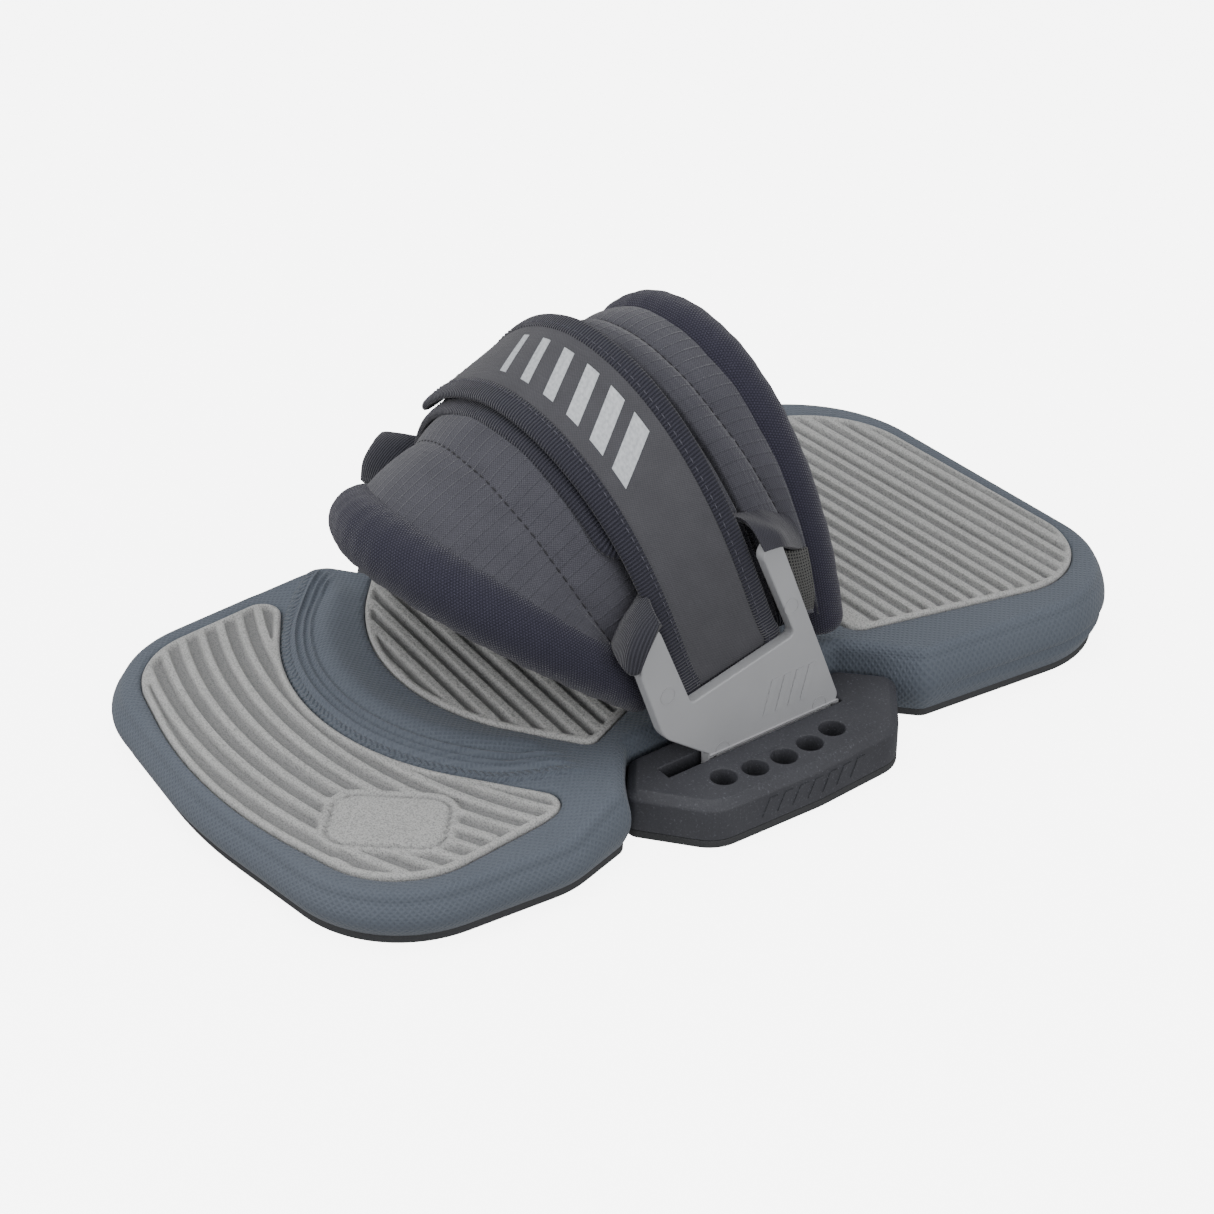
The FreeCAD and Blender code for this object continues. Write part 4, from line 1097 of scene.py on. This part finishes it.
def roll_rings(arch, thin, fat):
    """Rings of a padded roll along an arch, fattest over the foot, with rounded ends."""
    rings = []
    end, sides = 1.6, 32
    angles = end + np.linspace(0.0, 1.0, 16) ** 1.5 * 4.0
    angles = np.concatenate([angles, np.linspace(end + 5.0, 175 - end, 100), 180 - angles[::-1]])
    for angle in angles:
        middle = arch.at(angle)
        ahead = arch.at(min(angle + 0.5, 179.9)) - arch.at(max(angle - 0.5, 0.1))
        ahead /= np.linalg.norm(ahead)
        full = math.sin(math.radians(angle)) ** 1.5
        from_end = min(angle - end, 180 - end - angle) / 2.6
        cap = 0.8 + 0.2 * math.sqrt(1 - (1 - min(from_end, 1.0)) ** 2)
        pull = 1 + 0.012 * math.sin(0.9 * angle) + 0.01 * math.sin(0.37 * angle + 1.0)
        size = (thin + (fat - thin) * full) * cap * pull
        side = np.cross(ahead, arch.at(angle) - np.array([0.0, arch.shape[0], arch.shape[1]]))
        side /= np.linalg.norm(side)
        up = np.cross(side, ahead)
        rings.append([middle + size * (math.cos(turn) * side + math.sin(turn) * up)
                      for turn in np.linspace(0, 2 * math.pi, sides, endpoint=False)])
    return rings


def make_rolls():
    rolls = (("front_roll_cushion", FRONT_ROLL_ARCH, FRONT_FAR_POWER, 8.0, 9.8, "front_roll"),
             ("rear_roll_cushion", REAR_ROLL_ARCH, SADDLE_POWERS[1], 7.0, 7.5, "rear_roll"))
    for name, shape, far_power, thin, fat, node in rolls:
        arch = Arch(shape, (ROLL_HALF, ROLL_HALF), (SADDLE_POWERS[0], far_power))
        roll = new_piece(name, *loft(roll_rings(arch, thin, fat)), "strap_carrier", "roll_neoprene",
                         FINISHES["roll"], [node])


# ---------------------------------------------------------------- straps


UPPER = Strap()
LOWER = Strap(sink=4.0, drift=2.6)


def strip_rings(strap, start, stop, low, high, under, over, round_end=None):
    """Rings of a flat strip of a strap; round_end is the length of the end whose corners are round."""
    rings = []
    for length in np.linspace(start, stop, 110):
        cut = 0.0
        if round_end is not None and abs(length - round_end) < STRAP_CORNER:
            past = STRAP_CORNER - abs(length - round_end)
            cut = STRAP_CORNER - math.sqrt(max(STRAP_CORNER ** 2 - past ** 2, 0.0))
        rings.append([strap.at(length, width, lift)
                      for width, lift in flat_section(low + cut, high - cut, under, over)])
    return rings


def edge_path(start, stop, far=True):
    """The line round a strap's edge in cloth coordinates, from its toe side to its heel side."""
    turn_in = stop - STRAP_CORNER
    line = [(start, 0.0), (turn_in, 0.0)]
    for first, last, middle in ((-75, 1, STRAP_CORNER), (0, 91, STRAP_WIDTH - STRAP_CORNER)):
        for turn in np.radians(np.arange(first, last, 15)):
            line.append((turn_in + STRAP_CORNER * math.cos(turn), middle + STRAP_CORNER * math.sin(turn)))
    line.append((start, STRAP_WIDTH))
    line = np.array(line)
    if not far:
        line[:, 0] = start + stop - line[:, 0]
    return even(line, 1.5)


def bend_at_bar(piece):
    """Bake a strap piece's transform into its mesh."""
    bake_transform(piece)


def make_tape(name, strap, line, nodes, slot):
    """A ribbed tape folded round a strap's edge, with a row of stitches along it."""
    under, over = -STRAP_THICK, 0.0
    ahead = np.gradient(line, axis=0)
    ahead /= np.linalg.norm(ahead, axis=1)[:, None]
    inward = np.column_stack([-ahead[:, 1], ahead[:, 0]])
    if np.median(inward[:, 1] * (STRAP_WIDTH / 2 - line[:, 1])) < 0:
        inward = -inward
    middle = (over + under) / 2
    profile = [(BINDING_WIDTH, over + 0.05), (BINDING_WIDTH - 0.3, over + 0.45), (3.4, over + 0.5),
               (1.6, over + 0.6), (0.2, over + 0.4), (-0.6, over - 0.2), (-0.85, middle),
               (-0.6, under + 0.2), (0.2, under - 0.3), (1.6, under - 0.4), (3.4, under - 0.4),
               (BINDING_WIDTH - 0.3, under - 0.35), (BINDING_WIDTH, under - 0.05),
               (BINDING_WIDTH - 0.4, middle)]
    rings = []
    for (length, width), (length_in, width_in) in zip(line, inward):
        rings.append([strap.at(length + length_in * inset, width + width_in * inset, lift)
                      for inset, lift in profile])
    tape = new_piece(name, *loft(rings), None, slot, FINISHES["binding"], nodes, sharp=70)
    bend_at_bar(tape)
    inset = BINDING_WIDTH - 1.5
    seam = np.array([strap.at(length + length_in * inset, width + width_in * inset, over + 0.55)
                     for (length, width), (length_in, width_in) in zip(line, inward)])
    lifts = np.array([normal_of(strap.at, length, min(width, STRAP_WIDTH - 1.0))
                      for length, width in line])
    stitches = new_piece(name + "_stitches", *stitch_row(seam, lifts, 1.9, 1.0, 0.17), None, slot,
                         FINISHES["pale_thread"])
    bend_at_bar(stitches)
    return [tape, stitches]


def make_straps():
    band = (STRAP_INSET, STRAP_WIDTH - STRAP_INSET, -STRAP_THICK, 0.0)
    start, end = -STRAP_TAIL, UPPER.length_to(STRAP_END)
    upper = strip_rings(UPPER, start, end, *band, round_end=end)
    face = new_piece("closing_strap_face", *loft(upper), None, "strap_face",
                     FINISHES["strap"], ["upper_strap"])
    bend_at_bar(face)
    edges = make_tape("closing_strap_tape", UPPER, edge_path(start, end),
                      ["upper_binding_front", "upper_binding_rear"], "strap_binding")
    hooks = make_pile("hook_tape_pad", UPPER, UPPER.length_to(96.0), end - 8.0, -2.8, "closing_strap",
                      "hook_tape", "hook_patch")
    motif = make_strap_print()
    start, end = LOWER.length_to(LOWER_START), LOWER.places[-1] + STRAP_TAIL
    lower = strip_rings(LOWER, start, end, *band, round_end=start)
    face = new_piece("under_strap_face", *loft(lower), None, "strap_face", FINISHES["strap"],
                     ["lower_strap"])
    bend_at_bar(face)
    edges = make_tape("under_strap_tape", LOWER, edge_path(start, end, far=False), [],
                      "strap_face")
    loops = make_pile("loop_tape_pad", LOWER, LOWER.length_to(64.0), LOWER.length_to(135.0), 0.0,
                      "under_strap", "loop_tape", "loop_patch")


def make_pile(name, strap, start, stop, under, body, slot, node):
    """A patch of hook or loop tape on one face of a strap."""
    rings = strip_rings(strap, start, stop, 7.0, STRAP_WIDTH - 7.0, under, under + 0.8)
    return new_piece(name, *loft(rings), body, slot, FINISHES["hooks"], [node])


def make_strap_print():
    """A plain printed motif: slanted bars that shorten along the strap."""
    parts = []
    low, high, slant = 10.0, 25.0, 8.0
    for index in range(6):
        middle = 66.0 + 11.0 * index
        thick = 7.0 - 0.8 * index
        rings = []
        for width in np.linspace(low, high, 9):
            shift = slant * (width - low) / (high - low)
            pairs = [(-thick / 2, 0.0), (-thick / 2, 0.16), (0.0, 0.18),
                     (thick / 2, 0.16), (thick / 2, 0.0), (0.0, 0.0)]
            rings.append([UPPER.at(middle + shift + along, width, lift) for along, lift in pairs])
        parts.append(loft(rings))
    return new_piece("closing_strap_print", *join(parts), "closing_strap", "strap_face",
                     FINISHES["print"], sharp=30)


# ---------------------------------------------------------------- webbing at the brackets


def curve_through(points, count):
    """A smooth line through a few points, by Catmull-Rom."""
    points = np.asarray(points, float)
    padded = np.vstack([2 * points[0] - points[1], points, 2 * points[-1] - points[-2]])
    line = []
    for place in np.linspace(0, len(points) - 1, count):
        index = min(int(place), len(points) - 2)
        share = place - index
        a, b, c, d = padded[index:index + 4]
        line.append(0.5 * (2 * b + (c - a) * share + (2 * a - 5 * b + 4 * c - d) * share ** 2
                           + (3 * b - a - 3 * c + d) * share ** 3))
    return np.array(line)


def sheet_of(rows, thickness):
    """A thin closed sheet through rows of points, lofted smoothly both ways."""
    down, across_row = 22, 26
    fine = [curve_through(row, across_row) for row in rows]
    columns = [curve_through([row[i] for row in fine], down) for i in range(across_row)]
    spots = np.array(columns).transpose(1, 0, 2)
    along, across = np.gradient(spots, axis=0), np.gradient(spots, axis=1)
    lifts = np.cross(along, across)
    lifts /= np.linalg.norm(lifts, axis=2)[:, :, None]
    edge = np.minimum(np.arange(across_row), np.arange(across_row)[::-1])
    thin = thickness * np.minimum(0.35 + 0.65 * edge, 1.0)[None, :, None]
    return np.concatenate([spots, (spots - lifts * thin)[:, ::-1]], axis=1)


def make_arm_covers():
    """Cloth that ties the saddle to the bracket's arms: ribbed webbing at the toe side, a smooth
    tab over the taller heel-side arm, and an open net below that tab."""
    toe_side = [
        [(52.4, -26.0, 66.5), (54.3, -30.5, 63.6), (55.3, -35.8, 59.6), (56.2, -40.8, 53.6)],
        [(57.6, -29.5, 66.4), (59.0, -34.4, 63.8), (60.0, -39.4, 58.8), (60.6, -42.3, 52.4)],
        [(64.2, -32.4, 65.2), (65.4, -37.2, 63.0), (66.2, -41.4, 57.6), (66.4, -42.6, 50.8)],
        [(68.3, -33.2, 64.0), (68.8, -36.0, 61.4), (68.7, -38.8, 56.8), (68.4, -40.8, 51.4)],
    ]
    heel_side = [
        [(51.0, -1.0, 79.8), (51.4, 9.8, 76.7), (51.9, 15.0, 76.1), (53.9, 26.3, 70.0)],
        [(56.5, 3.4, 79.3), (58.0, 9.9, 77.0), (56.5, 16.0, 74.6), (54.8, 26.6, 67.0)],
        [(62.0, 3.4, 78.0), (64.0, 10.2, 76.2), (60.4, 17.2, 71.4), (55.8, 26.8, 64.0)],
        [(67.1, 3.5, 73.6), (67.0, 10.5, 72.8), (62.6, 18.4, 67.3), (56.8, 27.1, 61.1)],
    ]
    net = [
        [(57.6, 12.0, 66.5), (59.6, 17.5, 65.0), (59.2, 22.5, 63.4), (57.6, 27.6, 61.8)],
        [(58.6, 14.0, 58.0), (60.2, 19.0, 57.0), (59.8, 24.0, 55.6), (58.4, 28.8, 54.6)],
        [(59.2, 17.0, 49.0), (60.2, 21.5, 48.4), (60.0, 26.0, 47.6), (59.0, 29.8, 46.8)],
        [(58.4, 20.0, 42.0), (59.2, 23.6, 41.6), (59.2, 27.2, 41.2), (58.4, 30.4, 40.6)],
    ]
    for side, word in SIDES:
        mirror = np.array([side, 1.0, 1.0])
        for name, rows, thickness, finish, slot, node in (
                ("webbing_cover_", toe_side, 1.4, "webbing", "webbing", "arm_tab_front_"),
                ("arm_cover_", heel_side, 1.2, "tab", "webbing", "arm_tab_rear_"),
                ("side_net_", net, 0.7, "mesh", "outer_fabric", None)):
            sheet = sheet_of(np.array(rows), thickness) * mirror
            cover = new_piece(name + word, *loft(sheet), "strap_carrier", slot, FINISHES[finish],
                              [node + word] if node else [], sharp=60)
            widths, ways = flat_size(sheet)
        hem = curve_through(np.array(toe_side[0]) + (0.4, 0.0, 0.3), 30) * mirror
        new_piece("webbing_hem_" + word, *tube(hem, 0.8, 12), "strap_carrier",
                  "webbing", FINISHES["webbing"])


def make_pin_loops():
    """The webbing loop round each anchor pin, with its two ends sewn together above."""
    for side, word in SIDES:
        node = "strap_loop_" + word
        pin_low, pin_high = node_box("anchor_pin_" + word)
        middle = (pin_low + pin_high) / 2
        along = np.array([0.0, math.cos(BAR_TILT), math.sin(BAR_TILT)])
        up = np.array([0.0, -math.sin(BAR_TILT), math.cos(BAR_TILT)])
        out = np.array([float(side), 0.0, 0.0])
        inner, outer = 2.1, 3.9
        section_line = [(2.6, 5.2), (2.4, 3.0)]
        for radius, turns in ((inner, np.arange(40, -281, -20)), (outer, np.arange(-280, 21, 20))):
            section_line += [(radius * math.cos(t), radius * math.sin(t)) for t in np.radians(turns)]
        section_line += [(outer, 3.0), (3.7, 5.2)]
        rings = [[middle + along * reach + out * x + up * z for x, z in section_line]
                 for reach in np.linspace(-15.2, 15.2, 12)]
        loop = new_piece("pin_loop_" + word, *loft(rings), "strap_carrier", "webbing",
                         FINISHES["webbing"], [node])


# ---------------------------------------------------------------- hard parts kept from CAD


def soften_edges(node, width, finish):
    """Round a CAD node's edges with modifiers, and give it its material."""
    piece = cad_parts[node]
    weld = piece.modifiers.new("weld", "WELD")
    weld.merge_threshold = 5e-6
    merge = piece.modifiers.new("merge_flats", "DECIMATE")
    merge.decimate_type = "DISSOLVE"
    merge.angle_limit = math.radians(0.5)
    bevel = piece.modifiers.new("round_edges", "BEVEL")
    bevel.width = width * MM
    bevel.segments = 3
    bevel.limit_method = "ANGLE"
    bevel.angle_limit = math.radians(40)
    bevel.use_clamp_overlap = False
    bevel.harden_normals = True
    piece.data.materials.clear()
    piece.data.materials.append(finish)


def make_bracket_marks():
    """Faint round ejector marks and a plain slanted-bar motif on each bracket's outer face."""
    lean = math.radians(4.0)
    marks = ((-31.2, 25.5), (13.5, 37.5), (23.5, 1.6), (-12.5, 0.8))
    for side, word in SIDES:
        out = np.array([side * math.cos(lean), 0.0, math.sin(lean)])
        up = np.array([-side * math.sin(lean), 0.0, math.cos(lean)])
        root = np.array([side * 70.5, 0.0, 14.9])

        def face(along, height, lift):
            return root + np.array([0.0, along, 0.0]) + up * height + out * lift

        rings = []
        for along, height in marks:
            ring = []
            for turn in np.linspace(0, 2 * math.pi, 40, endpoint=False):
                spot = (math.cos(turn), math.sin(turn))
                pairs = ((2.6, -0.15), (2.6, 0.12), (2.3, 0.12), (2.3, -0.15))
                ring.append([face(along + r * spot[0], height + r * spot[1], lift) for r, lift in pairs])
            rings.append(loft(ring, closed=True))
        new_piece("ejector_marks_" + word, *join(rings), "strap_carrier", "bracket_plastic",
                  FINISHES["satin"], sharp=30)
        bars = []
        for index in range(4):
            start = 2.0 + 4.6 * index
            ends = []
            for height in np.linspace(6.0, 16.5, 4):
                shift = (height - 6.0) * 0.35
                pairs = [(0.0, -0.2), (0.15, 0.32), (2.35, 0.32), (2.5, -0.2)]
                ends.append([face(start + shift + along, height, lift) for along, lift in pairs])
            bars.append(loft(ends))
        new_piece("bracket_motif_" + word, *join(bars), "strap_carrier", "bracket_plastic",
                  FINISHES["satin"], sharp=30)


def make_wing_motif():
    """A row of slanted bars, slightly raised on each wing's outer side."""
    outline = even(section("chassis", 10.0), 0.5, closed=True)
    chosen = outline[(outline[:, 0] > 80) & (np.abs(outline[:, 1] - 4.0) < 26)]
    chosen = chosen[np.argsort(chosen[:, 1])]
    places = lengths(chosen)

    def face(along, height, lift):
        spot, ahead = (np.array([np.interp(place, places, column) for column in chosen.T])
                       for place in (places[-1] / 2 + along, places[-1] / 2 + along + 0.5))
        run = (ahead - spot) / np.linalg.norm(ahead - spot)
        return np.array([spot[0] + run[1] * lift, spot[1] - run[0] * lift, height])

    bars = []
    for index in range(7):
        start = -19.0 + 5.4 * index
        ends = []
        for height in (5.2, 7.0, 9.0, 10.8):
            shift = start + (height - 5.2) * 0.45
            pairs = [(0.0, -0.3), (0.2, 0.28), (3.0, 0.28), (3.2, -0.3)]
            ends.append([face(shift + along, height, lift) for along, lift in pairs])
        bars.append(loft(ends))
    points, faces, uv = join(bars)
    for side, word in SIDES:
        new_piece("wing_motif_" + word, points * (side, 1, 1), faces, uv, "base", "nylon",
                  FINISHES["nylon"], sharp=30)


def dress_hard_parts():
    soften_edges("chassis", 0.45, FINISHES["nylon"])
    soften_edges("base_sheet", 0.3, FINISHES["rubber"])
    for _, word in SIDES:
        soften_edges("bracket_" + word, 0.55, FINISHES["satin"])
        soften_edges("anchor_pin_" + word, 0.3, FINISHES["steel"])
    make_bracket_marks()
    make_wing_motif()


add_camera()
add_studio()
make_footpad()
make_grips()
make_saddle()
make_rolls()
make_straps()
make_arm_covers()
make_pin_loops()
dress_hard_parts()
